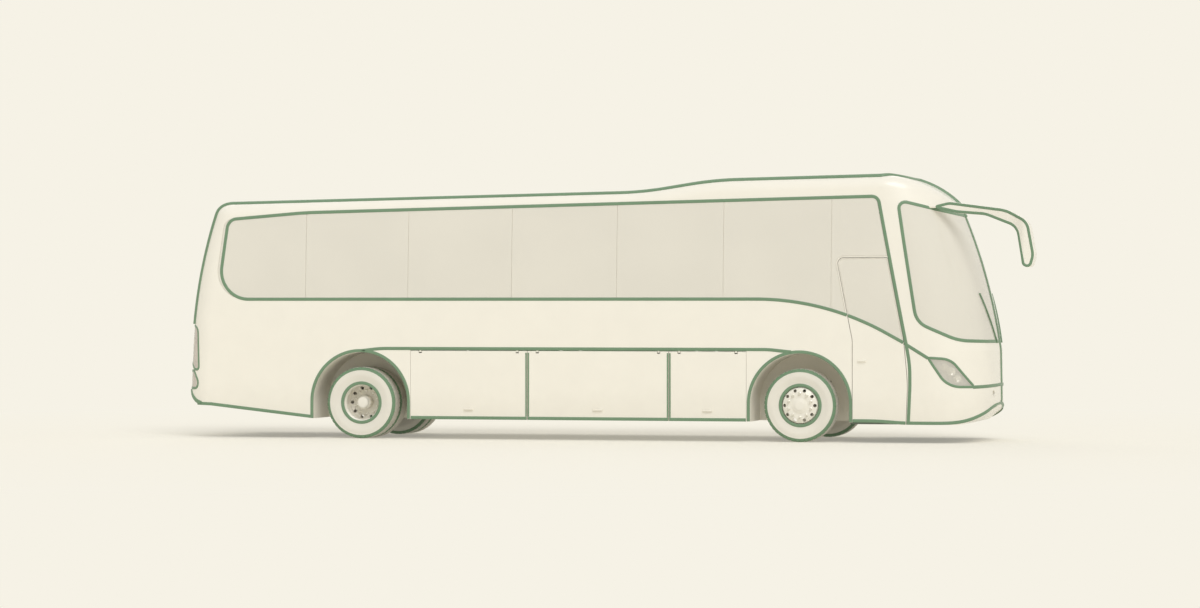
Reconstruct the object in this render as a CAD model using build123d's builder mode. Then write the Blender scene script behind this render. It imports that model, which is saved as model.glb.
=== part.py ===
from build123d import *
import math
import os

# Two-axle coach, 12 m long. Millimetres, +X forward, +Y left, +Z up.
# The origin is on the ground, under the middle of the overall box (mirrors included).

# Overall body
body_length = 12000
body_width = 2550
mirror_reach = 640  # how far the mirrors stand ahead of the nose
wall = 45  # thickness of walls, roof and doors
shut_gap = 8  # gap round every door and hatch
seat_gap = 0.5  # gap between seated pieces
curve_gap = 0.9  # gap between curved faces, as under the bonded glass

x_front = (body_length - mirror_reach) / 2
x_rear = x_front - body_length
half_width = body_width / 2
inner_half = half_width - wall

# Running gear
front_overhang = 2705
wheelbase = 6510
tyre_radius = 522
tyre_width = 290
tyre_to_skin = 40  # outer tyre wall to body side
twin_spacing = 330
front_axle_x = x_front - front_overhang
rear_axle_x = front_axle_x - wheelbase
wheel_y = half_width - tyre_to_skin - tyre_width / 2
twin_y = wheel_y - twin_spacing

# Heights
sill_z = 290
waist_z = 1300  # lower and upper bodywork meet, and the saloon floor lies on this level
floor_thickness = 36
floor_z = waist_z + floor_thickness
belt_z = 2030
skirt_z = 1290  # top of the luggage doors
platform_z = 950  # driver's platform

# Wheel arches
arch_radius = 715
arch_z = 545
arch_lip = 50  # fixed strip between an arch and a luggage door
liner_overlap = 6  # arch liner behind the edge of the bodywork
liner = 8

# Glass
glass = 8.5
rebate = glass + curve_gap
pane_joint = 6
window_frame = 55

os.makedirs("parts", exist_ok=True)


def write(part, name):
    """Labels a finished piece and writes it under its node name."""
    part.label = name
    export_step(part, f"parts/{name}.step")


# Master body shape: a lower and an upper loft of plan outlines, trimmed by a side profile.
# height, nose setback, tail setback, half width, nose corner radius, tail corner radius
plan_levels = [
    (200, 0, 0, half_width, 860, 360),
    (waist_z, 20, 45, half_width, 860, 360),
    (2300, 222, 160, half_width - 13, 840, 340),
    (3900, 845, 603, half_width - 117, 800, 320),
]
nose_angle = math.radians(13.8)  # half the angle of the nose's shallow arc
tail_angle = math.radians(8)
roof_corner = 210

# side profile: x, z, corner radius
side_profile = [
    (x_rear - 900, 3412, 1),
    (x_front - 5030, 3571, 5000),
    (x_front - 3980, 3739, 5000),
    (x_front - 800, 3807, 1400),
    (x_front + 200, 2075, 1),
    (x_front + 200, 900, 1),
    (x_front - 5, 900, 1),
    (x_front - 5, 500, 250),
    (x_front - 380, 262, 300),
    (x_front - 1230, 262, 400),
    (x_front - 1630, sill_z, 400),
    (rear_axle_x - arch_radius, sill_z, 1),
    (x_rear + 240, 495, 200),
    (x_rear - 5, 760, 1),
    (x_rear - 900, 1000, 1),
]

# the cavity has the same profile, but no bottom between the nose and the tail
cavity_profile = side_profile[:8] + [
    (x_front - 330, 294, 1),
    (x_front - 480, 100, 1),
    (x_rear + 330, 100, 1),
    (x_rear + 300, 545, 1),
] + side_profile[-2:]


def end_points(x_end, half, radius, angle, sign):
    """Arc points of one end of the plan: flat half width, shoulder x, tangent x, corner middle."""
    flat = half - radius * (1 - math.sin(angle))
    bulge = flat / math.sin(angle)
    shoulder = x_end - sign * bulge * (1 - math.cos(angle))
    tangent = shoulder - sign * radius * math.cos(angle)
    middle = (angle + math.pi / 2) / 2
    corner = (
        tangent + sign * radius * math.cos(middle),
        half - radius + radius * math.sin(middle),
    )
    return flat, shoulder, tangent, corner


def plan_outline(z, nose, tail, half, nose_radius, tail_radius, inset):
    """Horizontal section of the body, moved inwards by inset."""
    half = half - inset
    nose_x = x_front - nose - inset
    tail_x = x_rear + tail + inset
    nf, ns, nt, nc = end_points(nose_x, half, nose_radius - inset, nose_angle, 1)
    tf, ts, tt, tc = end_points(tail_x, half, tail_radius - inset, tail_angle, -1)
    with BuildSketch(Plane.XY.offset(z)) as outline:
        with BuildLine():
            ThreePointArc((ns, -nf), (nose_x, 0), (ns, nf))
            ThreePointArc((ns, nf), nc, (nt, half))
            Line((nt, half), (tt, half))
            ThreePointArc((tt, half), tc, (ts, tf))
            ThreePointArc((ts, tf), (tail_x, 0), (ts, -tf))
            ThreePointArc((ts, -tf), (tc[0], -tc[1]), (tt, -half))
            Line((tt, -half), (nt, -half))
            ThreePointArc((nt, -half), (nc[0], -nc[1]), (ns, -nf))
        make_face()
    return outline.sketch


def is_roof_edge(edge):
    across = abs(edge.tangent_at(0.5).Y) > 0.999 and edge.geom_type == GeomType.LINE
    return edge.center().Z > 3100 and not across


def body_solid(inset, outline=side_profile):
    """The whole body as one solid, moved inwards by inset."""
    with BuildPart() as lower:
        for level in plan_levels[:2]:
            add(plan_outline(*level, inset))
        loft(ruled=True)
    with BuildPart() as upper:
        for level in plan_levels[1:]:
            add(plan_outline(*level, inset))
        loft()
    with BuildPart() as profile:
        with BuildSketch(Plane.XZ):
            with BuildLine():
                FilletPolyline(
                    *[(x, z) for x, z, r in outline],
                    radius=[r for x, z, r in outline],
                    close=True,
                )
            make_face()
            if inset:
                offset(amount=-inset, kind=Kind.INTERSECTION)
        extrude(amount=body_width, both=True)
    with BuildPart() as body:
        add(lower.part)
        add(upper.part)
        add(profile.part, mode=Mode.INTERSECT)
        fillet(body.edges().filter_by(is_roof_edge), radius=roof_corner - inset)
    return body.part


def side_prism(outline, low_y, high_y, inset=0):
    """Prism across the bus from a side-view outline of (x, z, corner radius)."""
    with BuildPart() as prism:
        with BuildSketch(Plane.XZ.offset(-high_y)):
            with BuildLine():
                FilletPolyline(
                    *[(x, z) for x, z, r in outline],
                    radius=[r for x, z, r in outline],
                    close=True,
                )
            make_face()
            if inset:
                offset(amount=-inset, kind=Kind.INTERSECTION)
        extrude(amount=high_y - low_y)
    return prism.part


def rear_prism(outline, low_x, high_x):
    """Prism along the bus from a rear-view outline of (y, z, corner radius)."""
    with BuildPart() as prism:
        with BuildSketch(Plane.YZ.offset(low_x)):
            with BuildLine():
                FilletPolyline(
                    *[(y, z) for y, z, r in outline],
                    radius=[r for y, z, r in outline],
                    close=True,
                )
            make_face()
        extrude(amount=high_x - low_x)
    return prism.part


def block(x0, x1, y0, y1, z0, z1, mode=Mode.ADD):
    """Box between two corners, for use inside a part's own block."""
    with Locations(((x0 + x1) / 2, (y0 + y1) / 2, (z0 + z1) / 2)):
        Box(x1 - x0, y1 - y0, z1 - z0, mode=mode)


def cut_block(x0, x1, y0, y1, z0, z1):
    block(x0, x1, y0, y1, z0, z1, Mode.SUBTRACT)


def box_part(x0, x1, y0, y1, z0, z1):
    with BuildPart() as box:
        block(x0, x1, y0, y1, z0, z1)
    return box.part


far = body_width  # beyond the body side

# The seam at the front end of each side: leaning beside the glass, upright below it.
seam_lean = 0.198
seam_top_x = x_front - 1616
seam_top_z = 3500
seam_knee = (seam_top_x + (seam_top_z - 1450) * seam_lean, 1450)
seam_low = (x_front - 1153, 850)
seam_foot = (x_front - 1180, 200)


def seam_x(z):
    """Where the leaning part of the seam is at height z."""
    return seam_top_x + (seam_top_z - z) * seam_lean


roof_half = 880  # the roof panel ends here, on the flat of the roof
front_region = [
    (seam_x(4200), 4200, 0),
    (seam_knee[0], seam_knee[1], 1500),
    (seam_low[0], seam_low[1], 2500),
    (seam_foot[0], seam_foot[1], 0),
    (x_front + 300, 200, 0),
    (x_front + 300, 4200, 0),
]
rear_seam_x = x_rear + 420
rear_region = [
    (rear_seam_x, 4200, 0),
    (x_rear - 300, 4200, 0),
    (x_rear - 300, 200, 0),
    (rear_seam_x, 200, 0),
]

# Side glazing band: x, z, corner radius
swoosh_vertex = (x_front - 2324, belt_z)
swoosh_tip = (x_front - 1202, 1395)
glazing_band = [
    (x_rear + 680, 3202, 150),
    (x_rear + 1870, 3297, 6000),
    (seam_x(3482), 3482, 110),
    (swoosh_tip[0], swoosh_tip[1], 15),
    (swoosh_vertex[0], swoosh_vertex[1], 3900),
    (x_rear + 530, belt_z, 420),
]
first_pillar_x = x_rear + 1950
pane_length = 1560
pane_count = 5
pillars = [first_pillar_x + i * pane_length for i in range(pane_count + 1)]

# Entrance doorway, right side, ahead of the front arch
doorway_rear_x = front_axle_x + arch_radius + 40
doorway_top_z = 2620
doorway = [
    (doorway_rear_x, 150, 1),
    (doorway_rear_x, seam_knee[1], 60),
    (doorway_rear_x - (doorway_top_z - seam_knee[1]) * seam_lean, doorway_top_z, 90),
    (seam_x(doorway_top_z), doorway_top_z, 30),
    (seam_knee[0], seam_knee[1], 1500),
    (seam_low[0], seam_low[1], 2500),
    (seam_foot[0], seam_foot[1] - 50, 1),
]

# Luggage doors, between the wheel arches
luggage_seams = [rear_axle_x + 2522, rear_axle_x + 4614]
luggage_bays = [
    (rear_axle_x + arch_radius + arch_lip, luggage_seams[0]),
    (luggage_seams[0], luggage_seams[1]),
    (luggage_seams[1], front_axle_x - arch_radius - arch_lip),
]


# Windscreen, headlamps and bumper, seen from the side
screen_edge = 285  # from the seam to the windscreen
windscreen_outline = [
    (seam_x(3435) + screen_edge - 2, 3435, 90),
    (seam_x(1720) + screen_edge - 60, 1700, 300),
    (x_front - 460, 1440, 700),
    (x_front + 500, 1400, 0),
    (x_front + 500, 2970, 0),
]
lamp_tip = (x_front - 870, 1205)
lamp_low = (x_front - 480, 805)
headlamp_outline = [
    (lamp_tip[0], lamp_tip[1], 12),
    (x_front - 560, 1185, 260),
    (x_front - 255, 792, 12),
    (lamp_low[0] - 120, lamp_low[1] - 10, 330),
]
bumper_region = [
    (seam_foot[0] - 600, 100, 0),
    (seam_foot[0] - 600, swoosh_tip[1] + 339.6, 0),
    (lamp_tip[0], lamp_tip[1] - 8, 0),
    (lamp_low[0] - 130, lamp_low[1] - 8, 330),
    (x_front - 120, 785, 600),
    (x_front + 300, 900, 0),
    (x_front + 300, 100, 0),
]

# Rear lamps, seen from the side
upper_tail_outline = [
    (x_rear - 50, 1640, 1),
    (x_rear + 260, 1640, 110),
    (x_rear + 285, 995, 40),
    (x_rear + 205, 995, 60),
    (x_rear - 50, 1260, 1),
]
lower_tail_outline = [
    (x_rear - 50, 975, 1),
    (x_rear + 190, 975, 40),
    (x_rear + 290, 790, 110),
    (x_rear + 240, 720, 60),
    (x_rear - 50, 720, 1),
]
tail_lamp_inner_y = 960

# Rear window and engine lid, seen from behind
rear_window_outline = [
    (-870, 2180, 140),
    (870, 2180, 140),
    (800, 3060, 140),
    (-800, 3060, 140),
]
lid_half = 760
lid_low_z = 700
lid_top_z = 1668
lid_outline = [
    (-lid_half, lid_low_z, 60),
    (lid_half, lid_low_z, 60),
    (lid_half, lid_top_z, 30),
    (-lid_half, lid_top_z, 30),
]

outer_body = body_solid(0)
inner_body = body_solid(wall, cavity_profile)
glass_body = body_solid(glass)
rebate_body = body_solid(rebate)

with BuildPart() as shell:
    add(outer_body)
    add(inner_body, mode=Mode.SUBTRACT)

with BuildPart() as skin:
    add(outer_body)
    add(glass_body, mode=Mode.SUBTRACT)

with BuildPart() as outer_layer:
    add(outer_body)
    add(rebate_body, mode=Mode.SUBTRACT)


def both_sides(outline, inset=0):
    """Prism of a side outline through both sides of the bus."""
    return side_prism(outline, -far, far, inset)


# Openings cut in the panels
glass_surround = 14  # from the doorway to the fixed glass beside it

with BuildPart() as pane_joints:
    for x in pillars:
        block(x - pane_joint / 2, x + pane_joint / 2, -far, far, 1000, 3600)

with BuildPart() as pillar_posts:
    for x in pillars:
        block(x - window_frame, x + window_frame, -far, far, 1000, 3600)

doorway_cut = side_prism(doorway, -far, 0)
near_doorway = side_prism(doorway, -far, 0, inset=-glass_surround)
round_doorway = side_prism(doorway, -far, 0, inset=-glass_surround - window_frame)

with BuildPart() as side_rebates:
    add(outer_layer.part)
    add(both_sides(glazing_band), mode=Mode.INTERSECT)
    add(near_doorway, mode=Mode.SUBTRACT)

with BuildPart() as side_holes:
    add(both_sides(glazing_band, inset=window_frame))
    add(pillar_posts.part, mode=Mode.SUBTRACT)
    add(round_doorway, mode=Mode.SUBTRACT)

with BuildPart() as arch_cuts:
    for x in (front_axle_x, rear_axle_x):
        with BuildSketch(Plane.XZ):
            with Locations((x, arch_z)):
                Circle(arch_radius)
            with Locations((x, arch_z / 2)):
                Rectangle(2 * arch_radius, arch_z)
        extrude(amount=far, both=True)

with BuildPart() as luggage_cuts:
    block(luggage_bays[0][0], luggage_bays[-1][1], -far, far, 0, skirt_z + shut_gap / 2)

with BuildPart() as tail_lamp_cuts:
    for outline in (upper_tail_outline, lower_tail_outline):
        add(side_prism(outline, -far, -tail_lamp_inner_y))
        add(side_prism(outline, tail_lamp_inner_y, far))

with BuildPart() as right_half:
    block(x_rear - 900, x_front + 900, -far, 0, 0, 4300)

with BuildPart() as left_half:
    block(x_rear - 900, x_front + 900, 0, far, 0, 4300)


# The shell is split at the front seam, at the tail and along the roof
with BuildPart() as front_shell:
    add(shell.part)
    add(both_sides(front_region), mode=Mode.INTERSECT)

with BuildPart() as rear_shell:
    add(shell.part)
    add(both_sides(rear_region), mode=Mode.INTERSECT)

with BuildPart() as middle_shell:
    add(shell.part)
    add(both_sides(front_region), mode=Mode.SUBTRACT)
    add(both_sides(rear_region), mode=Mode.SUBTRACT)

roof_zone = box_part(x_rear, x_front, -roof_half, roof_half, 3100, 4300)

# Roof
with BuildPart() as roof:
    add(middle_shell.part)
    add(roof_zone, mode=Mode.INTERSECT)
write(roof.part, "roof")

# Side walls
with BuildPart() as side_walls:
    add(middle_shell.part)
    add(roof_zone, mode=Mode.SUBTRACT)
    add(side_holes.part, mode=Mode.SUBTRACT)
    add(side_rebates.part, mode=Mode.SUBTRACT)
    add(arch_cuts.part, mode=Mode.SUBTRACT)
    add(luggage_cuts.part, mode=Mode.SUBTRACT)
    add(doorway_cut, mode=Mode.SUBTRACT)

# Entrance door arms turn on a post inside the doorway
post_x = x_front - 1500
post_y = -(half_width - 145)
post_radius = 20
arm_length = 410
arm_radius = 14
elbow = (-132, 127)  # from the post, door shut
arm_heights = [700, doorway_top_z - 43]
eye_radius = 18
eye_height = 30
running_gap = 0.05
door_pin_radius = 8
thrust_gap = 1.5
step_tops = [340, 545, 750]
post_bearing_z = doorway_top_z + 40

with BuildPart() as right_side_wall:
    add(side_walls.part)
    add(right_half.part, mode=Mode.INTERSECT)
    # upper bearing of the door post
    block(post_x - 32, post_x + 32, -(half_width - 40), post_y + 35, post_bearing_z, post_bearing_z + 25)
    with Locations((post_x, post_y, post_bearing_z)):
        Cylinder(
            post_radius + running_gap, 60, mode=Mode.SUBTRACT,
            align=(Align.CENTER, Align.CENTER, Align.CENTER),
        )
write(right_side_wall.part, "right_side_wall")

with BuildPart() as left_side_wall:
    add(side_walls.part)
    add(left_half.part, mode=Mode.INTERSECT)
write(left_side_wall.part, "left_side_wall")

# Tow sockets sit behind holes in the bumpers, under the right chassis rail
socket_y = -475
socket_radius = 34
socket_bore = 20
socket_depth = 100
socket_hole = 46  # in the bumper
front_socket_z = 690
rear_socket_z = 640
front_socket_end = x_front - 140
rear_socket_end = x_rear + 210

# Front panel and bumper
with BuildPart() as windscreen_rebate:
    add(outer_layer.part)
    add(both_sides(windscreen_outline), mode=Mode.INTERSECT)

with BuildPart() as front_panel:
    add(front_shell.part)
    add(both_sides(headlamp_outline), mode=Mode.SUBTRACT)
    add(both_sides(bumper_region), mode=Mode.SUBTRACT)
    add(windscreen_rebate.part, mode=Mode.SUBTRACT)
    add(both_sides(windscreen_outline, inset=window_frame), mode=Mode.SUBTRACT)
write(front_panel.part, "front_panel")

with BuildPart() as front_bumper:
    add(front_shell.part)
    add(both_sides(headlamp_outline), mode=Mode.SUBTRACT)
    add(both_sides(bumper_region), mode=Mode.INTERSECT)
    with Locations((x_front, socket_y, front_socket_z)):
        Cylinder(socket_hole, 400, rotation=(0, 90, 0), mode=Mode.SUBTRACT)
write(front_bumper.part, "front_bumper")

# Headlamps fill their openings
with BuildPart() as headlamps:
    add(front_shell.part)
    add(both_sides(headlamp_outline), mode=Mode.INTERSECT)
write(headlamps.part, "headlamps")

# Rear panel and bumper
bumper_top_z = 690
lid_hinge_z = 1640
lid_hinge_radius = 12
lid_hinge_x = x_rear + 91

with BuildPart() as rear_window_rebate:
    add(outer_layer.part)
    add(rear_prism(rear_window_outline, x_rear - 100, x_rear + 900), mode=Mode.INTERSECT)

rear_window_hole = [
    (y - math.copysign(window_frame, y), z + (window_frame if z < 2500 else -window_frame), r - 40)
    for y, z, r in rear_window_outline
]

with BuildPart() as rear_panel:
    add(rear_shell.part)
    add(tail_lamp_cuts.part, mode=Mode.SUBTRACT)
    cut_block(x_rear - 100, x_rear + 900, -far, far, 0, bumper_top_z)
    add(rear_window_rebate.part, mode=Mode.SUBTRACT)
    add(rear_prism(rear_window_hole, x_rear - 100, x_rear + 900), mode=Mode.SUBTRACT)
    add(rear_prism(lid_outline, x_rear - 100, x_rear + 600), mode=Mode.SUBTRACT)
write(rear_panel.part, "rear_panel")

with BuildPart() as rear_bumper:
    add(rear_shell.part)
    add(tail_lamp_cuts.part, mode=Mode.SUBTRACT)
    cut_block(x_rear - 100, x_rear + 900, -far, far, bumper_top_z, 4300)
    with Locations((x_rear + 100, socket_y, rear_socket_z)):
        Cylinder(socket_hole, 400, rotation=(0, 90, 0), mode=Mode.SUBTRACT)
write(rear_bumper.part, "rear_bumper")

with BuildPart() as tail_lamps:
    for outline in (upper_tail_outline, lower_tail_outline):
        add(side_prism(outline, -far, -tail_lamp_inner_y - seat_gap))
        add(side_prism(outline, tail_lamp_inner_y + seat_gap, far))
    add(rear_shell.part, mode=Mode.INTERSECT)
write(tail_lamps.part, "tail_lamps")

# Engine lid, hinged along its top edge
lid_notches = [-150, 150]
notch = 46
ear = 30
pin_radius = 4
with BuildPart() as engine_lid:
    add(rear_shell.part)
    add(
        rear_prism(
            [
                (y - math.copysign(shut_gap, y), min(z + shut_gap, lid_hinge_z), r)
                for y, z, r in lid_outline
            ],
            x_rear - 100,
            x_rear + 600,
        ),
        mode=Mode.INTERSECT,
    )
    with Locations((lid_hinge_x, 0, lid_hinge_z)):
        Cylinder(lid_hinge_radius, 700, rotation=(90, 0, 0))
        Cylinder(pin_radius + running_gap, 2 * lid_half + 200, rotation=(90, 0, 0), mode=Mode.SUBTRACT)
    for y in lid_notches:
        cut_block(
            lid_hinge_x - 100, lid_hinge_x + 100, y - notch / 2, y + notch / 2,
            lid_hinge_z - 24, lid_hinge_z + 60,
        )
write(engine_lid.part, "engine_lid")

# Luggage doors, hinged along their top edges
hinge_z = skirt_z - shut_gap / 2 - 12
hinge_y = half_width - 12
hinge_radius = 12


def notch_places(low_x, high_x):
    return [low_x + 150, high_x - 150]


bay_names = ["rear", "middle", "front"]
for side, side_name in ((-1, "right"), (1, "left")):
    for (low_x, high_x), bay_name in zip(luggage_bays, bay_names):
        low = low_x + shut_gap / 2
        high = high_x - shut_gap / 2
        with BuildPart() as luggage_door:
            block(low, high, side * (half_width - wall / 2) - wall / 2, side * (half_width - wall / 2) + wall / 2, sill_z, hinge_z)
            with Locations(((low + high) / 2, side * hinge_y, hinge_z)):
                Cylinder(hinge_radius, high - low, rotation=(0, 90, 0))
                Cylinder(pin_radius + running_gap, high - low + 10, rotation=(0, 90, 0), mode=Mode.SUBTRACT)
            for x in notch_places(low_x, high_x):
                cut_block(
                    x - notch / 2, x + notch / 2, side * half_width - 60, side * half_width + 60,
                    hinge_z - 24, hinge_z + 60,
                )
        write(luggage_door.part, f"{side_name}_{bay_name}_luggage_door")

with BuildPart() as hinge_pins:
    low_x = luggage_bays[0][0] + shut_gap
    high_x = luggage_bays[-1][1] - shut_gap
    for side in (-1, 1):
        with Locations(((low_x + high_x) / 2, side * hinge_y, hinge_z)):
            Cylinder(pin_radius, high_x - low_x, rotation=(0, 90, 0))
        for bay in luggage_bays:
            for x in notch_places(*bay):
                block(
                    x - ear / 2, x + ear / 2, side * hinge_y - 9, side * hinge_y + 9,
                    hinge_z - 10, skirt_z + shut_gap / 2 - seat_gap,
                )
    with Locations((lid_hinge_x, 0, lid_hinge_z)):
        Cylinder(pin_radius, 680, rotation=(90, 0, 0))
    for y in lid_notches:
        block(
            lid_hinge_x - 9, lid_hinge_x + 9, y - ear / 2, y + ear / 2,
            lid_hinge_z - 10, lid_top_z - seat_gap,
        )
write(hinge_pins.part, "hinge_pins")

# Glass
with BuildPart() as windscreen:
    add(skin.part)
    add(both_sides(windscreen_outline, inset=pane_joint), mode=Mode.INTERSECT)
write(windscreen.part, "windscreen")

with BuildPart() as side_windows:
    add(skin.part)
    add(both_sides(glazing_band, inset=pane_joint), mode=Mode.INTERSECT)
    add(pane_joints.part, mode=Mode.SUBTRACT)
    add(side_prism(doorway, -far, 0, inset=-glass_surround - pane_joint), mode=Mode.SUBTRACT)
write(side_windows.part, "side_windows")

rear_pane_outline = [
    (y - math.copysign(pane_joint, y), z + (pane_joint if z < 2500 else -pane_joint), r - 5)
    for y, z, r in rear_window_outline
]
with BuildPart() as rear_window:
    add(skin.part)
    add(rear_prism(rear_pane_outline, x_rear - 100, x_rear + 900), mode=Mode.INTERSECT)
write(rear_window.part, "rear_window")

# Entrance door
door_frame = 70  # inner width of the frame round the door's glass
door_edge = 8  # full-thickness edge outside the glass
plate_root_y = half_width - 38  # within the door's wall, behind its glass
with BuildPart() as door_rebate:
    add(outer_layer.part)
    add(both_sides(glazing_band), mode=Mode.INTERSECT)
    add(side_prism(doorway, -far, 0, inset=shut_gap + door_edge), mode=Mode.INTERSECT)

with BuildPart() as door_hole:
    add(both_sides(glazing_band, inset=window_frame))
    add(side_prism(doorway, -far, 0, inset=shut_gap + door_frame), mode=Mode.INTERSECT)

with BuildPart() as entrance_door:
    add(middle_shell.part)
    add(side_prism(doorway, -far, 0, inset=shut_gap), mode=Mode.INTERSECT)
    add(door_rebate.part, mode=Mode.SUBTRACT)
    add(door_hole.part, mode=Mode.SUBTRACT)
    for z in arm_heights:
        x = post_x - arm_length
        plate_gap = eye_height / 2 + thrust_gap
        for side in (-1, 1):
            z_plate = z + side * (plate_gap + 4)
            block(x - eye_radius, x + eye_radius, -plate_root_y, post_y, z_plate - 4, z_plate + 4)
            with Locations((x, post_y, z_plate)):
                Cylinder(eye_radius, 8)
        with Locations((x, post_y, z)):
            Cylinder(door_pin_radius, 2 * plate_gap + 2)
write(entrance_door.part, "entrance_door")

with BuildPart() as entrance_door_glass:
    add(skin.part)
    add(both_sides(glazing_band, inset=pane_joint), mode=Mode.INTERSECT)
    add(side_prism(doorway, -far, 0, inset=shut_gap + door_edge + pane_joint), mode=Mode.INTERSECT)
write(entrance_door_glass.part, "entrance_door_glass")

with BuildPart() as entrance_door_arms:
    post_low = step_tops[0] + seat_gap
    post_high = post_bearing_z + 12
    with Locations((post_x, post_y, (post_low + post_high) / 2)):
        Cylinder(post_radius, post_high - post_low)
    for z in arm_heights:
        bend = (post_x + elbow[0], post_y + elbow[1], z)
        tip = (post_x - arm_length, post_y, z)
        with BuildLine() as arm_path:
            Polyline((post_x, post_y, z), bend, tip)
        with BuildSketch(Plane(origin=(post_x, post_y, z), z_dir=(elbow[0], elbow[1], 0))):
            Circle(arm_radius)
        sweep(path=arm_path.line, transition=Transition.ROUND)
        with Locations(tip):
            Cylinder(eye_radius, eye_height)
    for z in arm_heights:
        with Locations((post_x - arm_length, post_y, z)):
            Cylinder(door_pin_radius + running_gap, 60, mode=Mode.SUBTRACT)
write(entrance_door_arms.part, "entrance_door_arms")

# Floors, platform and steps
inside_body = body_solid(wall + seat_gap)
platform_rear_x = front_axle_x + arch_radius + liner_overlap + 4
platform_front_x = x_front - 430
step_front_x = x_front - 1100
aisle_half = 350
plate = 30
step_y = [-930, -640, -aisle_half]

with BuildPart() as saloon_floor:
    add(inside_body)
    add(
        box_part(x_rear - 100, platform_rear_x - seat_gap, -far, far, waist_z, floor_z),
        mode=Mode.INTERSECT,
    )
write(saloon_floor.part, "saloon_floor")

with BuildPart() as front_platform:
    # driver's platform and gangway, over the stairwell's open side
    block(platform_rear_x, platform_front_x, -far, far, platform_z - plate, platform_z)
    cut_block(platform_rear_x, step_front_x, -far, -aisle_half - plate, 0, platform_z + 10)
    # stairs: each tread with the riser at its inner edge
    for top, low_y, high_y, next_top in zip(
        step_tops, [-far] + step_y[:2], step_y, step_tops[1:] + [platform_z]
    ):
        block(platform_rear_x, step_front_x, low_y, high_y, top - plate, top)
        block(platform_rear_x, step_front_x, high_y - plate, high_y, top - plate, next_top)
    # stairwell ends
    block(platform_rear_x, platform_rear_x + 15, -far, -aisle_half, step_tops[0] - plate, waist_z - seat_gap)
    block(step_front_x - 15, step_front_x, -far, -aisle_half, step_tops[0] - plate, platform_z)
    # bulkhead below the saloon floor, and the gangway's half step
    block(platform_rear_x, platform_rear_x + 15, -aisle_half, far, platform_z - plate, waist_z - seat_gap)
    block(platform_rear_x, platform_rear_x + 270, -aisle_half, aisle_half, platform_z - plate, (platform_z + floor_z) / 2)
    with Locations((post_x, post_y, step_tops[0])):
        Cylinder(post_radius + 14, 50)
        Cylinder(post_radius + running_gap, 50, mode=Mode.SUBTRACT)
        Cylinder(post_radius + 14, 12, align=(Align.CENTER, Align.CENTER, Align.MAX))
    add(inside_body, mode=Mode.INTERSECT)
write(front_platform.part, "front_platform")

# Luggage hold and front underpan
underpan_z = 264
bulkhead_low_x = luggage_bays[0][0] - arch_lip + liner_overlap + 0.5
bulkhead_high_x = luggage_bays[-1][1] + arch_lip - liner_overlap - 0.5
door_clear = 8
with BuildPart() as luggage_hold:
    block(bulkhead_low_x, bulkhead_high_x, -inner_half + door_clear, inner_half - door_clear, sill_z, sill_z + 40)
    for x in (bulkhead_low_x, bulkhead_high_x - plate):
        block(x, x + plate, -inner_half + seat_gap, inner_half - seat_gap, sill_z, waist_z - seat_gap)
write(luggage_hold.part, "luggage_hold")

with BuildPart() as front_underpan:
    add(plan_outline(underpan_z, *plan_levels[0][1:], wall + curve_gap))
    extrude(amount=plate)
    add(
        box_part(platform_rear_x, x_front - 560, -far, far, underpan_z, underpan_z + plate),
        mode=Mode.INTERSECT,
    )
write(front_underpan.part, "front_underpan")

# Wheel arch liners
liner_inner_y = 552
with BuildPart() as wheel_arch_liners:
    for x in (front_axle_x, rear_axle_x):
        for side in (-1, 1):
            y_wall = side * (inner_half - seat_gap)
            y_back = side * liner_inner_y
            r = arch_radius + liner_overlap
            with BuildSketch(Plane.XZ.offset(-max(y_wall, y_back))):
                with Locations((x, arch_z)):
                    Circle(r)
                with Locations((x, (arch_z + sill_z) / 2)):
                    Rectangle(2 * r, arch_z - sill_z)
                with Locations((x, sill_z - r)):
                    Rectangle(3 * r, 2 * r, mode=Mode.SUBTRACT)
            extrude(amount=inner_half - seat_gap - liner_inner_y)
            with BuildSketch(Plane.XZ.offset(-max(y_wall - side * 0, y_back + side * liner))):
                with Locations((x, arch_z)):
                    Circle(r - liner)
                with Locations((x, arch_z / 2)):
                    Rectangle(2 * (r - liner), arch_z)
            extrude(amount=inner_half - seat_gap - liner_inner_y - liner, mode=Mode.SUBTRACT)
    for x in (front_axle_x, rear_axle_x):
        cut_block(x - 330, x + 330, -liner_inner_y - 20, liner_inner_y + 20, 0, 860)
write(wheel_arch_liners.part, "wheel_arch_liners")


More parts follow.
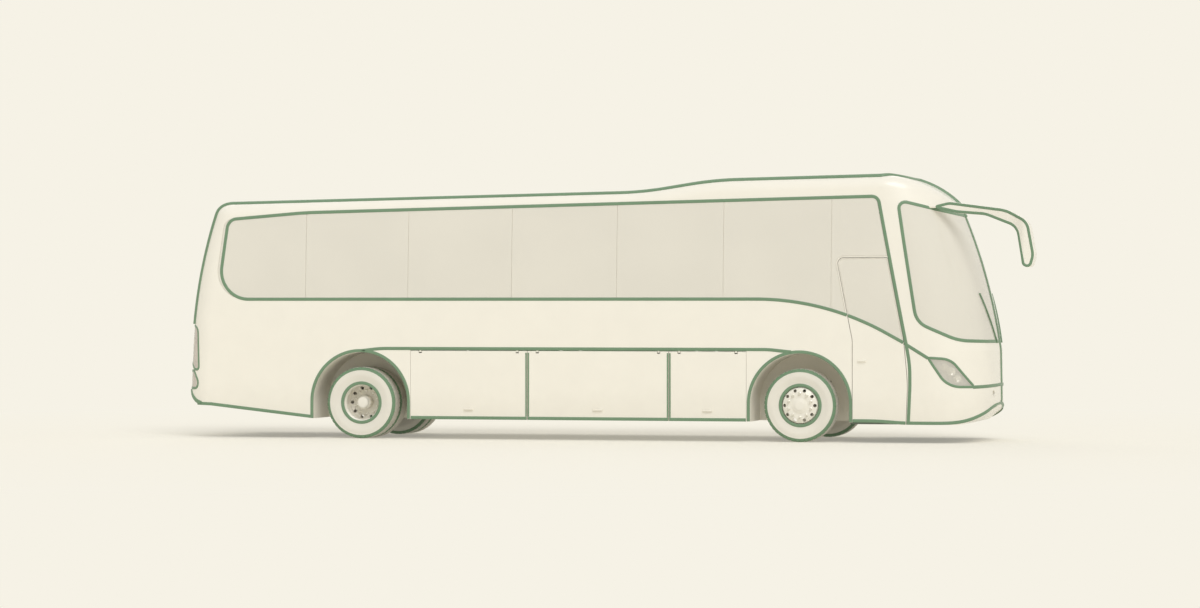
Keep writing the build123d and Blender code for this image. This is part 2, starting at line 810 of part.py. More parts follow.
# Chassis rails, engine and axles
rail_inner_y = 440
rail_outer_y = 510
rail_height = 140
rail_top_z = platform_z - plate - seat_gap
rear_rail_low_x = x_rear + 320
front_rail_high_x = x_front - 480
with BuildPart() as chassis_frame:
    for low_x, high_x, side in (
        (rear_rail_low_x, bulkhead_low_x - seat_gap, -1),
        (rear_rail_low_x, bulkhead_low_x - seat_gap, 1),
        (bulkhead_high_x + seat_gap, platform_rear_x - seat_gap, -1),
        (step_front_x + seat_gap, front_rail_high_x, -1),
        (bulkhead_high_x + seat_gap, front_rail_high_x, 1),
    ):
        y0, y1 = sorted((side * rail_inner_y, side * rail_outer_y))
        block(low_x, high_x, y0, y1, rail_top_z - rail_height, rail_top_z)
    for x in (bulkhead_high_x + 60, front_axle_x + 560, front_rail_high_x - 80):
        block(x - 30, x + 30, -rail_inner_y, rail_inner_y, rail_top_z - 100, rail_top_z - 20)
    for x in (rear_axle_x + 560, rear_axle_x - 560):
        block(x - 30, x + 30, -rail_inner_y, rail_inner_y, rail_top_z - 100, rail_top_z - 20)
    # tow sockets hang under the ends of the right rail
    for end_x, rail_x, z, out in (
        (front_socket_end, front_rail_high_x, front_socket_z, 1),
        (rear_socket_end, rear_rail_low_x, rear_socket_z, -1),
    ):
        root_x = rail_x - out * 160
        x0, x1 = sorted((root_x, rail_x))
        block(x0, x1, -rail_outer_y, -rail_inner_y, z - socket_radius, rail_top_z - rail_height)
        with Locations(((root_x + end_x) / 2, socket_y, z)):
            Cylinder(socket_radius, abs(end_x - root_x), rotation=(0, 90, 0))
        with Locations((end_x - out * socket_depth / 2, socket_y, z)):
            Cylinder(socket_bore, socket_depth, rotation=(0, 90, 0), mode=Mode.SUBTRACT)
write(chassis_frame.part, "chassis_frame")

engine_length = 1500
engine_low_x = rear_rail_low_x + 60
with BuildPart() as engine_block:
    block(engine_low_x, engine_low_x + engine_length, -rail_inner_y + seat_gap, rail_inner_y - seat_gap, 480, 1240)
    fillet(engine_block.edges().filter_by(Axis.X), radius=40)
write(engine_block.part, "engine_block")

# Front axle beam with an eye at each kingpin
kingpin_y = wheel_y - 110
kingpin_radius = 24
eye_low_z = tyre_radius - 52
eye_high_z = tyre_radius + 53
beam_low_z = tyre_radius - 102
beam_high_z = tyre_radius + 18
eye_r = 48
spring_y = 425
spring_r = 105
pad_z = tyre_radius + 63
with BuildPart() as front_axle_beam:
    with BuildSketch(Plane.YZ.offset(front_axle_x - 45)):
        with BuildLine():
            FilletPolyline(
                (-kingpin_y, eye_low_z), (-620, eye_low_z), (-500, beam_low_z), (500, beam_low_z),
                (620, eye_low_z), (kingpin_y, eye_low_z), (kingpin_y, eye_high_z), (600, eye_high_z),
                (520, beam_high_z), (-520, beam_high_z), (-600, eye_high_z), (-kingpin_y, eye_high_z),
                radius=20, close=True,
            )
        make_face()
    extrude(amount=90)
    for side in (-1, 1):
        with Locations((front_axle_x, side * kingpin_y, (eye_low_z + eye_high_z) / 2)):
            Cylinder(eye_r, eye_high_z - eye_low_z)
        with Locations((front_axle_x, side * spring_y, (tyre_radius - 42 + pad_z) / 2)):
            Cylinder(spring_r - 10, pad_z - tyre_radius + 42)
    for x in (front_axle_x - 45, front_axle_x + 45 - 26):
        cut_block(x, x + 26, -460, 460, beam_low_z + 25, beam_high_z - 25)
    for side in (-1, 1):
        with Locations((front_axle_x, side * kingpin_y, (eye_low_z + eye_high_z) / 2)):
            Cylinder(kingpin_radius + running_gap, 400, mode=Mode.SUBTRACT)
write(front_axle_beam.part, "front_axle_beam")

# Rear axle: centre casing, tubes and spindles
tube_end_y = 560
spindle_radius = 60
rear_spindle_end = wheel_y + 50
spring_beam_z = tyre_radius - 82
spring_reach = 520  # rear air springs, fore and aft of the axle
rear_pad_z = spring_beam_z + 95
shaft_radius = 45
flange_radius = 75
flange = 20
with BuildPart() as rear_axle:
    with BuildSketch(Plane.XY.offset(tyre_radius)):
        with BuildLine():
            Polyline(
                (rear_axle_x, -rear_spindle_end), (rear_axle_x + spindle_radius, -rear_spindle_end),
                (rear_axle_x + spindle_radius, -tube_end_y), (rear_axle_x + 78, -tube_end_y),
                (rear_axle_x + 78, -260), (rear_axle_x + 200, -130), (rear_axle_x + 200, 130),
                (rear_axle_x + 78, 260), (rear_axle_x + 78, tube_end_y),
                (rear_axle_x + spindle_radius, tube_end_y), (rear_axle_x + spindle_radius, rear_spindle_end),
                (rear_axle_x, rear_spindle_end), close=True,
            )
        make_face()
    revolve(axis=Axis((rear_axle_x, 0, tyre_radius), (0, 1, 0)))
    # shaft from the engine, with a flange at each end
    shaft_low_x = engine_low_x + engine_length + seat_gap
    with Locations(((shaft_low_x + rear_axle_x) / 2, 0, tyre_radius)):
        Cylinder(shaft_radius, rear_axle_x - shaft_low_x, rotation=(0, 90, 0))
    for x in (shaft_low_x + flange / 2, rear_axle_x - 240):
        with Locations((x, 0, tyre_radius)):
            Cylinder(flange_radius, flange, rotation=(0, 90, 0))
    with Locations((rear_axle_x - 170, 0, tyre_radius)):
        Cone(95, 130, 150, rotation=(0, 90, 0))
    for side in (-1, 1):
        # spring beam, fore and aft of the axle
        block(
            rear_axle_x - 620, rear_axle_x + 620, side * spring_y - 40, side * spring_y + 40,
            spring_beam_z, spring_beam_z + 80,
        )
        for x in (rear_axle_x - spring_reach, rear_axle_x + spring_reach):
            with Locations((x, side * spring_y, spring_beam_z + 75)):
                Cylinder(spring_r - 10, 40)
write(rear_axle.part, "rear_axle")

with BuildPart() as air_springs:
    spring_top = rail_top_z - rail_height - seat_gap
    for side in (-1, 1):
        for x, low_z in (
            (front_axle_x, pad_z + seat_gap),
            (rear_axle_x - spring_reach, rear_pad_z + seat_gap),
            (rear_axle_x + spring_reach, rear_pad_z + seat_gap),
        ):
            with Locations((x, side * spring_y, (low_z + spring_top) / 2)):
                Cylinder(spring_r, spring_top - low_z)
write(air_springs.part, "air_springs")

# Front knuckles: fork, kingpin and spindle in one piece
lug = 43
front_spindle_radius = 40
bridge_low_y = kingpin_y + 55
bridge_high_y = wheel_y - 15
for side, side_name in ((-1, "right"), (1, "left")):
    with BuildPart() as front_knuckle:
        low_z = eye_low_z - 1 - lug
        high_z = eye_high_z + 1 + lug
        with Locations((front_axle_x, side * kingpin_y, (low_z + high_z) / 2)):
            Cylinder(kingpin_radius, high_z - low_z)
        for z in (low_z, high_z - lug):
            with Locations((front_axle_x, side * kingpin_y, z + lug / 2)):
                Cylinder(eye_r, lug)
            y0, y1 = sorted((side * kingpin_y, side * bridge_high_y))
            block(front_axle_x - eye_r, front_axle_x + eye_r, y0, y1, z, z + lug)
        y0, y1 = sorted((side * bridge_low_y, side * bridge_high_y))
        block(front_axle_x - 60, front_axle_x + 60, y0, y1, low_z, high_z)
        with Locations((front_axle_x, side * (bridge_high_y + 70), tyre_radius)):
            Cylinder(front_spindle_radius, 180, rotation=(90, 0, 0))
    write(front_knuckle.part, f"front_{side_name}_knuckle")

# Wheels. Profiles are (distance from the wheel's middle plane, radius).
barrel_profile = [
    (-114, 297), (-104, 297), (-103, 284), (-62, 281), (-44, 258), (44, 258), (62, 281), (103, 284),
    (104, 297), (114, 297), (114, 287), (108, 276), (62, 272), (46, 250), (-46, 250), (-62, 272),
    (-108, 276), (-114, 287),
]
disc_offset = 165
disc_plate = 14
bead_gap = 0.3
tyre_profile = [
    (-102.6, 284 + bead_gap), (-103.6, 297 + bead_gap), (-115, 297 + bead_gap), (-126, 330), (-tyre_width / 2, 400), (-136, 480), (-118, tyre_radius - 4),
    (-108, tyre_radius), (108, tyre_radius), (118, tyre_radius - 4), (136, 480), (tyre_width / 2, 400),
    (126, 330), (115, 297 + bead_gap), (103.6, 297 + bead_gap), (102.6, 284 + bead_gap),
    (80, 284), (100, 320), (128, 400), (116, 480), (98, 500), (-98, 500),
    (-116, 480), (-128, 400), (-100, 320), (-80, 284),
]


def ring(profile, x, y, outward):
    """Solid of revolution about a wheel's axle. Profile is (distance outward, radius)."""
    with BuildPart() as turned:
        with BuildSketch(Plane.XY.offset(tyre_radius)):
            with BuildLine():
                Polyline(*[(x + r, y + outward * d) for d, r in profile], close=True)
            make_face()
        revolve(axis=Axis((x, 0, tyre_radius), (0, 1, 0)))
    return turned.part


def hand_holes(x, y, count, circle, radius):
    with BuildPart() as holes:
        for i in range(count):
            angle = 2 * math.pi * i / count
            with Locations((x + circle * math.cos(angle), y, tyre_radius + circle * math.sin(angle))):
                Cylinder(radius, 140, rotation=(90, 0, 0))
    return holes.part


front_disc = [
    (40, 254), (70, 254), (120, 236), (disc_offset - disc_plate, 190), (disc_offset - disc_plate, 60),
    (disc_offset, 60), (disc_offset, 196), (132, 246), (76, 270), (40, 256),
]
front_hub = [
    (-5, 0), (-5, 200), (28, 200), (28, 120), (disc_offset + 6, 110), (disc_offset + 14, 84), (disc_offset + 14, 0),
]
spindle_reach = 160
for side, side_name in ((-1, "right"), (1, "left")):
    y = side * wheel_y
    with BuildPart() as front_tyre:
        add(ring(tyre_profile, front_axle_x, y, side))
    write(front_tyre.part, f"front_{side_name}_tyre")
    with BuildPart() as front_rim:
        add(ring(barrel_profile, front_axle_x, y, side))
        add(ring(front_disc, front_axle_x, y, side))
        add(ring(front_hub, front_axle_x, y, side))
        add(hand_holes(front_axle_x, y + side * 125, 10, 217, 24), mode=Mode.SUBTRACT)
        with Locations((front_axle_x, y + side * (spindle_reach - 60) / 2, tyre_radius)):
            Cylinder(
                front_spindle_radius + running_gap, spindle_reach + 60, rotation=(90, 0, 0), mode=Mode.SUBTRACT
            )
    write(front_rim.part, f"front_{side_name}_rim")

# twin rims meet back to back on the hub's flange
twin_disc = [
    (-disc_offset + 0.15, 100), (-disc_offset + 0.15, 200), (-136, 246), (-76, 270), (-40, 256), (-40, 254),
    (-70, 254), (-122, 236), (-disc_offset + disc_plate, 190), (-disc_offset + disc_plate, 100),
]
twin_hub = [
    (-340, 0), (-340, 130), (-disc_offset - 8, 130), (-disc_offset - 8, 99), (-30, 99), (-10, 80), (-10, 0),
]
for side, side_name in ((-1, "right"), (1, "left")):
    with BuildPart() as rear_tyres:
        add(ring(tyre_profile, rear_axle_x, side * wheel_y, side))
        add(ring(tyre_profile, rear_axle_x, side * twin_y, -side))
    write(rear_tyres.part, f"rear_{side_name}_tyres")
    with BuildPart() as rear_rims:
        add(ring(barrel_profile, rear_axle_x, side * wheel_y, side))
        add(ring(twin_disc, rear_axle_x, side * wheel_y, side))
        add(hand_holes(rear_axle_x, side * (wheel_y - 125), 10, 217, 24), mode=Mode.SUBTRACT)
        add(ring(barrel_profile, rear_axle_x, side * twin_y, -side))
        add(ring(twin_disc, rear_axle_x, side * twin_y, -side))
        add(hand_holes(rear_axle_x, side * (twin_y + 125), 10, 217, 24), mode=Mode.SUBTRACT)
        add(ring(twin_hub, rear_axle_x, side * wheel_y, side))
        with Locations((rear_axle_x, side * (wheel_y - 200), tyre_radius)):
            Cylinder(spindle_radius + running_gap, 520, rotation=(90, 0, 0), mode=Mode.SUBTRACT)
    write(rear_rims.part, f"rear_{side_name}_rims")

# Seats: pairs for passengers in rows, and the driver's
seat_pitch = 800
seat_rows = 11
first_row_x = x_rear + 900
seat_to_wall = 95
aisle_side = 235
driver_y = half_width - 645
driver_seat = 500
pair_width = inner_half - seat_to_wall - aisle_side
seat_profile = [
    (0, 0, 1), (430, 0, 1), (430, 60, 20), (300, 60, 20), (300, 330, 20), (460, 350, 40), (460, 440, 40),
    (20, 420, 60), (-160, 1090, 40), (-260, 1090, 35), (-90, 360, 60), (60, 330, 20), (60, 60, 20), (0, 60, 1),
]


def seat(x, y0, y1, z):
    with BuildPart() as chair:
        with BuildSketch(Plane.XZ.offset(-y1)):
            with BuildLine():
                FilletPolyline(
                    *[(x + dx, z + dz) for dx, dz, r in seat_profile],
                    radius=[r for dx, dz, r in seat_profile],
                    close=True,
                )
            make_face()
        extrude(amount=y1 - y0)
    return chair.part


pair = seat(0, 0, pair_width, floor_z + seat_gap)
pairs = [
    Pos(first_row_x + row * seat_pitch, y, 0) * pair
    for row in range(seat_rows)
    for y in (aisle_side, -aisle_side - pair_width)
]
with BuildPart() as seats:
    add(pairs + [seat(x_front - 1500, driver_y - driver_seat / 2, driver_y + driver_seat / 2, platform_z + seat_gap)])
write(seats.part, "seats")

# Dashboard and steering wheel
dash_profile = [
    (x_front - 760, platform_z + seat_gap, 1),
    (x_front - 700, 1250, 60),
    (x_front - 880, 1330, 40),
    (x_front - 860, 1420, 60),
    (x_front - 600, 1470, 150),
    (x_front - 200, 1380, 1),
    (x_front - 200, 1330, 1),
    (x_front - 520, 1240, 60),
    (x_front - 600, platform_z + seat_gap, 1),
]
wheel_centre = (x_front - 985, driver_y, platform_z + 590)
wheel_tilt = 35
column_radius = 22
with BuildPart() as dashboard:
    add(side_prism(dash_profile, -1100, 1150))
    add(inside_body, mode=Mode.INTERSECT)
    with Locations(Location(wheel_centre, (0, -wheel_tilt, 0))):
        Cylinder(
            column_radius + seat_gap, 300, align=(Align.CENTER, Align.CENTER, Align.MAX), mode=Mode.SUBTRACT
        )
write(dashboard.part, "dashboard")

with BuildPart() as steering_wheel:
    with Locations(Location(wheel_centre, (0, -wheel_tilt, 0))):
        Torus(225, 16)
        Cylinder(50, 30)
        Cylinder(column_radius, 250, align=(Align.CENTER, Align.CENTER, Align.MAX))
        for angle in (0, 120, 240):
            with Locations(Location((0, 0, 0), (0, 0, angle))):
                with Locations((112, 0, 0)):
                    Box(225, 30, 14)
write(steering_wheel.part, "steering_wheel")

# Parcel racks follow the inner wall
rack_region = [
    (x_rear + 700, 2890, 30),
    (x_rear + 700, 3110, 30),
    (x_front - 2600, 3250, 30),
    (x_front - 2300, 3000, 100),
]
with BuildPart() as parcel_racks:
    add(inside_body)
    add(side_prism(rack_region, -far, -800) + side_prism(rack_region, 800, far), mode=Mode.INTERSECT)
write(parcel_racks.part, "parcel_racks")

# The kerb-side mirror arm sweeps forward from the roof's front corner to a hanging head
mirror_half = half_width + 65  # outer faces of both mirrors, from the middle of the body
arm_root_y = half_width - 320
arm_root_half = 45
head_width = 240
close_body = body_solid(-seat_gap)
mirror_outline = [
    (x_front - 960, 3345, 0),
    (x_front - 780, 3362, 60),
    (x_front - 600, 3402, 250),
    (x_front + 230, 3290, 500),
    (x_front + 560, 3120, 220),
    (x_front + mirror_reach + 9, 2640, 260),
    (x_front + 590, 2440, 75),
    (x_front + 470, 2500, 70),
    (x_front + 375, 3030, 190),
    (x_front - 80, 3205, 400),
    (x_front - 500, 3240, 400),
    (x_front - 800, 3315, 60),
    (x_front - 960, 3310, 0),
]
mirror_plan = [
    (x_front - 960, -arm_root_y - arm_root_half, 0),
    (x_front - 300, -arm_root_y - arm_root_half - 30, 500),
    (x_front + 330, -mirror_half + 100, 400),
    (x_front + 480, -mirror_half, 80),
    (x_front + 900, -mirror_half, 0),
    (x_front + 900, -mirror_half + head_width, 0),
    (x_front + 300, -mirror_half + head_width, 500),
    (x_front - 300, -arm_root_y + 25, 500),
    (x_front - 960, -arm_root_y + arm_root_half, 0),
]
mirror_edge = 15

# The driver's mirror hangs on a tube beside the windscreen pillar
tube_radius = 20
driver_head_width = 180
driver_head_edge = 22
driver_tube = [
    (x_front - 1000, half_width - 295, 3390, 0),
    (x_front - 870, half_width - 195, 3370, 70),
    (x_front - 790, mirror_half - driver_head_width / 2, 3210, 110),
    (x_front - 668, mirror_half - driver_head_width / 2, 2780, 0),
]
driver_head = [
    (x_front - 760, 2860, 35),
    (x_front - 668, 2860, 35),
    (x_front - 610, 2400, 35),
    (x_front - 690, 2400, 35),
]

with BuildPart() as kerb_mirror:
    add(side_prism(mirror_outline, -mirror_half - 100, 0))
    with BuildSketch(Plane.XY.offset(2300)):
        with BuildLine():
            FilletPolyline(
                *[(x, y) for x, y, r in mirror_plan],
                radius=[r for x, y, r in mirror_plan],
                close=True,
            )
        make_face()
    extrude(amount=1300, mode=Mode.INTERSECT)
    fillet(kerb_mirror.edges(), radius=mirror_edge)

with BuildPart() as driver_mirror:
    add(side_prism(driver_head, mirror_half - driver_head_width, mirror_half))
    head_ends = driver_mirror.edges().filter_by(Axis.Y, reverse=True)
    fillet(head_ends, radius=driver_head_edge)
    with BuildLine() as tube_line:
        FilletPolyline(
            *[(x, y, z) for x, y, z, r in driver_tube],
            radius=[r for x, y, z, r in driver_tube[1:-1]],
        )
    with BuildSketch(Plane(origin=tube_line.line @ 0, z_dir=tube_line.line % 0)):
        Circle(tube_radius)
    sweep(path=tube_line.line)

with BuildPart() as mirrors:
    add(kerb_mirror.part)
    add(driver_mirror.part)
    add(close_body, mode=Mode.SUBTRACT)
write(mirrors.part, "mirrors")

# Wipers lie on the windscreen
wiper_body = body_solid(-18)
wiper_width = 26
with BuildPart() as wipers:
    for side in (-1, 1):
        with BuildSketch(Plane.YZ.offset(x_front - 900)):
            with Locations(Location((side * 420, 1760), side * 62)):
                SlotOverall(800, wiper_width)
        extrude(amount=1200)
    add(wiper_body, mode=Mode.INTERSECT)
    add(close_body, mode=Mode.SUBTRACT)
write(wipers.part, "wipers")
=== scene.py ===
import math
import bpy
import bmesh
from mathutils import Matrix, Vector
from mathutils.bvhtree import BVHTree


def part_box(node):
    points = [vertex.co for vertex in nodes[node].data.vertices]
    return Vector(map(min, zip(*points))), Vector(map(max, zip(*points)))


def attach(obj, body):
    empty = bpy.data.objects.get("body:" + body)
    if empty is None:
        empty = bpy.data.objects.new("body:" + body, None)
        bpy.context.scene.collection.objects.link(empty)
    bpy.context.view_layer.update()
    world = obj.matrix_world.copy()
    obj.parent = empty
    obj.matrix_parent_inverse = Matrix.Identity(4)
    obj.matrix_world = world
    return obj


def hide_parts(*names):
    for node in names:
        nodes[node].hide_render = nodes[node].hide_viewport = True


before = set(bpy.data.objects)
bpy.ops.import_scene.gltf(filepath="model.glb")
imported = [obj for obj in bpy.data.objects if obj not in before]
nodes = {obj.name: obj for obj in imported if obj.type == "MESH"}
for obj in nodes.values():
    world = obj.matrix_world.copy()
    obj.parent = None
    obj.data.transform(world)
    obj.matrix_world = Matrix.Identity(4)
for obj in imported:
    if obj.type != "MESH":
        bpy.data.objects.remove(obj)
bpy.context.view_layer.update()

X = Vector((1, 0, 0))  # ahead
Y = Vector((0, 1, 0))  # to the left
Z = Vector((0, 0, 1))  # up
SIDES = {"right": -1, "left": 1}
BAYS = ("rear", "middle", "front")
TINY = 1e-9

# Colours, linear
CREAM = (0.905, 0.870, 0.775)
SAGE = (0.162, 0.270, 0.162)
BACKDROP = (0.922, 0.888, 0.791)

# Mouldings, in metres
LINE = 0.046  # width of a moulding
PROUD = 0.006  # how far it stands out of the bodywork
SINK = 0.004  # how far its foot reaches into the bodywork
STEP = 0.03  # spacing of points along it
EDGE_GAP = 0.004  # from its end to the edge of a panel
SHORTEST = 0.003  # the least that its end reaches past the point before it

# Camera: level, just above head height, a little ahead of square to the right side
IMAGE_WIDTH = 1200
FOCAL_PIXELS = 3814
TURN = math.radians(14)
CAMERA_DISTANCE = 56
CAMERA_HEIGHT = 1.96
AIM_X = -0.25


def new_object(name, data):
    made = bpy.data.objects.new(name, data)
    bpy.context.collection.objects.link(made)
    return made


def spaced(low, high, count):
    """Evenly spaced values from low to high, in count steps."""
    return [low + (high - low) * i / count for i in range(count + 1)]


def make_camera():
    data = bpy.data.cameras.new("camera")
    data.sensor_width = 36
    data.lens = FOCAL_PIXELS / IMAGE_WIDTH * data.sensor_width
    data.clip_end = 500
    camera = new_object("camera", data)
    camera.location = (
        AIM_X + CAMERA_DISTANCE * math.sin(TURN),
        -CAMERA_DISTANCE * math.cos(TURN),
        CAMERA_HEIGHT,
    )
    camera.rotation_euler = (math.radians(90), 0, TURN)
    bpy.context.scene.camera = camera


make_camera()

# Materials
GRAIN_HEIGHT = 0.001
BLOTCH_SCALE = 2.5  # of the slow change of colour over a surface
ROUGHNESS_SPREAD = (0.85, 1.15)  # shares between which a roughness varies
RAMP_ENDS = (0.3, 0.7)  # values between which a colour changes
DUST = (0.62, 0.57, 0.47)
DUST_TOP = 0.60  # height above the ground where the dust ends
DUST_COVER = 0.22  # how much of the paint it hides at the ground
DUST_RAGGED = 0.35  # how much further up it reaches where its noise is strongest
MIX_A = 6  # colour sockets of a Mix node
MIX_B = 7
MIX_RESULT = 2


def feed(tree, socket, source):
    """Gives a socket a value, or a link from another socket."""
    if isinstance(source, bpy.types.NodeSocket):
        tree.links.new(source, socket)
    else:
        socket.default_value = source


def add_node(tree, kind, *sources, **named):
    """A shader node. Sources feed its inputs in their order, named ones by name."""
    node = tree.nodes.new(f"ShaderNode{kind}")
    for socket, source in zip(node.inputs, sources):
        feed(tree, socket, source)
    for name, source in named.items():
        feed(tree, node.inputs[name.replace("_", " ")], source)
    return node


def new_material(name, colour, roughness, metallic=0.0, **inputs):
    """A Principled material. Returns the material, its node tree and its shader."""
    material = bpy.data.materials.new(name)
    material.use_nodes = True
    tree = material.node_tree
    shader = tree.nodes["Principled BSDF"]
    shader.inputs["Base Color"].default_value = (*colour, 1)
    shader.inputs["Roughness"].default_value = roughness
    shader.inputs["Metallic"].default_value = metallic
    for key, value in inputs.items():
        shader.inputs[key.replace("_", " ").title()].default_value = value
    return material, tree, shader


def object_place(tree):
    return add_node(tree, "TexCoord").outputs["Object"]


def object_noise(tree, scale, detail=3.0):
    """Noise in the object's own coordinates."""
    return add_node(tree, "TexNoise", Vector=object_place(tree), Scale=scale, Detail=detail).outputs["Fac"]


def vary_colour(tree, shader, value, low, high):
    ramp = add_node(tree, "ValToRGB", value)
    for element, position, colour in zip(ramp.color_ramp.elements, RAMP_ENDS, (low, high)):
        element.position = position
        element.color = (*colour, 1)
    feed(tree, shader.inputs["Base Color"], ramp.outputs["Color"])


def mapped(tree, value, low, high, start=0.0, end=1.0):
    """A value mapped from start..end to low..high."""
    return add_node(tree, "MapRange", value, start, end, low, high).outputs["Result"]


def add_bump(tree, shader, value, strength):
    bump = add_node(tree, "Bump", Strength=strength, Distance=GRAIN_HEIGHT, Height=value)
    feed(tree, shader.inputs["Normal"], bump.outputs["Normal"])


def shade(colour, factor):
    return tuple(channel * factor for channel in colour)


def noisy(name, colour, roughness, grain, bump=0.0, metallic=0.0, spread=0.06, **inputs):
    """A surface with slight colour and roughness variation and a grain of the given scale."""
    material, tree, shader = new_material(name, colour, roughness, metallic, **inputs)
    blotches = object_noise(tree, BLOTCH_SCALE)
    vary_colour(tree, shader, blotches, shade(colour, 1 - spread), shade(colour, 1 + spread / 2))
    fine = object_noise(tree, grain)
    low, high = ROUGHNESS_SPREAD
    feed(tree, shader.inputs["Roughness"], mapped(tree, fine, roughness * low, min(1.0, roughness * high)))
    if bump:
        add_bump(tree, shader, fine, bump)
    return material


def add_road_dust(material):
    """Mixes dust into the lowest part of a paint, broken up by noise."""
    tree = material.node_tree
    base_colour = tree.nodes["Principled BSDF"].inputs["Base Color"]
    paint_colour = base_colour.links[0].from_socket
    height = add_node(tree, "SeparateXYZ", object_place(tree)).outputs["Z"]
    patchy = add_node(tree, "Math")
    patchy.operation = "MULTIPLY_ADD"
    for socket, source in zip(patchy.inputs, (object_noise(tree, 6, 5), -DUST_RAGGED, height)):
        feed(tree, socket, source)
    mixer = add_node(tree, "Mix", mapped(tree, patchy.outputs["Value"], DUST_COVER, 0.0, 0.0, DUST_TOP))
    mixer.data_type = "RGBA"
    feed(tree, mixer.inputs[MIX_A], paint_colour)
    feed(tree, mixer.inputs[MIX_B], (*DUST, 1))
    feed(tree, base_colour, mixer.outputs[MIX_RESULT])


def weave(name, colour, stripe):
    """A seat fabric: a fine weave with broad soft stripes."""
    material, tree, shader = new_material(name, colour, 0.9, sheen_weight=0.3)
    bands = add_node(tree, "TexWave", Vector=object_place(tree), Scale=9, Distortion=0.6)
    bands.bands_direction = "Y"
    vary_colour(tree, shader, bands.outputs["Fac"], colour, stripe)
    cloth = add_node(tree, "TexVoronoi", Vector=object_place(tree), Scale=420)
    add_bump(tree, shader, cloth.outputs["Distance"], 0.5)
    return material


def glass_material(name, colour, cover, roughness=0.05):
    """Glass as a pale film: cover is how much of it hides what is behind."""
    material, tree, shader = new_material(name, colour, roughness, alpha=cover, coat_weight=0.3)
    vary_colour(tree, shader, object_noise(tree, 0.8, 1.0), shade(colour, 0.97), shade(colour, 1.01))
    add_bump(tree, shader, object_noise(tree, 1.4, 1.0), 0.02)
    return material


paint = noisy("cream_paint", CREAM, 0.34, 180, bump=0.03, spread=0.015, coat_weight=0.35, coat_roughness=0.08)
add_road_dust(paint)
trim = noisy("sage_trim", SAGE, 0.45, 240, bump=0.05, spread=0.05, coat_weight=0.1)
tread = noisy("pale_tread_rubber", shade(CREAM, 0.66), 0.80, 120, bump=0.35, spread=0.08)
shoulder = noisy("sage_shoulder_rubber", SAGE, 0.70, 150, bump=0.25, spread=0.06)
sidewall = noisy("cream_sidewall_rubber", shade(CREAM, 0.88), 0.75, 150, bump=0.25, spread=0.04)
wheel_paint = noisy("wheel_paint", shade(CREAM, 0.95), 0.38, 200, bump=0.04, spread=0.02, coat_weight=0.2)
steel = noisy("chassis_steel", (0.16, 0.18, 0.155), 0.6, 60, bump=0.2, metallic=0.2, spread=0.2)
bright = noisy("bright_metal", (0.80, 0.78, 0.71), 0.32, 160, bump=0.03, metallic=0.8, spread=0.03)
plastic = noisy("grey_plastic", (0.13, 0.16, 0.13), 0.55, 300, bump=0.25, spread=0.08)
liner = noisy("pale_liner", shade(CREAM, 0.97), 0.8, 90, bump=0.3, spread=0.03)
fabric = weave("seat_fabric", (0.40, 0.47, 0.37), (0.50, 0.56, 0.45))
seat_shell = noisy("seat_shell", (0.55, 0.56, 0.49), 0.6, 320, bump=0.2, spread=0.04)
floor_cover = noisy("floor_cover", (0.46, 0.46, 0.40), 0.7, 500, bump=0.2, spread=0.06)
lining = noisy("cabin_lining", shade(CREAM, 0.92), 0.75, 260, bump=0.15, spread=0.03)
bellows = noisy("air_spring_rubber", (0.06, 0.07, 0.06), 0.7, 90, bump=0.3, spread=0.2)
lamp_bowl = noisy("lamp_bowl", (0.80, 0.79, 0.74), 0.16, 90, bump=0.03, metallic=0.9, spread=0.02)
plate_face = noisy("blank_plate", shade(CREAM, 0.98), 0.5, 400, bump=0.1, spread=0.01)
mirror_glass = noisy("mirror_glass", (0.86, 0.88, 0.86), 0.03, 4, metallic=1.0, spread=0.01)
glass = glass_material("pale_glass", shade(CREAM, 0.99), 0.82)
lamp_glass = glass_material("lamp_glass", shade(CREAM, 0.97), 0.56)
tail_glass = glass_material("tail_glass", (0.88, 0.80, 0.71), 0.66, 0.12)
tail_red = noisy("tail_red", (0.42, 0.10, 0.07), 0.3, 60, bump=0.1, spread=0.05, coat_weight=0.5)

LUGGAGE_DOORS = [f"{side}_{bay}_luggage_door" for side in SIDES for bay in BAYS]
BODYWORK = [
    "roof", "right_side_wall", "left_side_wall", "front_panel", "front_bumper", "rear_panel", "rear_bumper",
]
NODE_MATERIALS = {
    paint: [*BODYWORK, "entrance_door", "engine_lid", "mirrors", "hinge_pins", *LUGGAGE_DOORS],
    glass: ["windscreen", "side_windows", "rear_window", "entrance_door_glass"],
    lamp_glass: ["headlamps"],
    tail_glass: ["tail_lamps"],
    sidewall: ["front_left_tyre", "front_right_tyre", "rear_left_tyres", "rear_right_tyres"],
    wheel_paint: ["front_left_rim", "front_right_rim", "rear_left_rims", "rear_right_rims"],
    steel: [
        "chassis_frame", "engine_block", "front_axle_beam", "rear_axle", "front_left_knuckle",
        "front_right_knuckle", "entrance_door_arms",
    ],
    bellows: ["air_springs"],
    fabric: ["seats"],
    plastic: ["dashboard", "steering_wheel", "front_underpan"],
    trim: ["wipers"],
    liner: ["wheel_arch_liners"],
    floor_cover: ["saloon_floor", "front_platform", "luggage_hold"],
    lining: ["parcel_racks"],
}
for material, names in NODE_MATERIALS.items():
    for name in names:
        mesh = nodes[name].data
        mesh.materials.clear()
        mesh.materials.append(material)

# Meshes
TUBE_SIDES = 12
SMOOTH = 35  # degrees; an edge that turns further is sharp


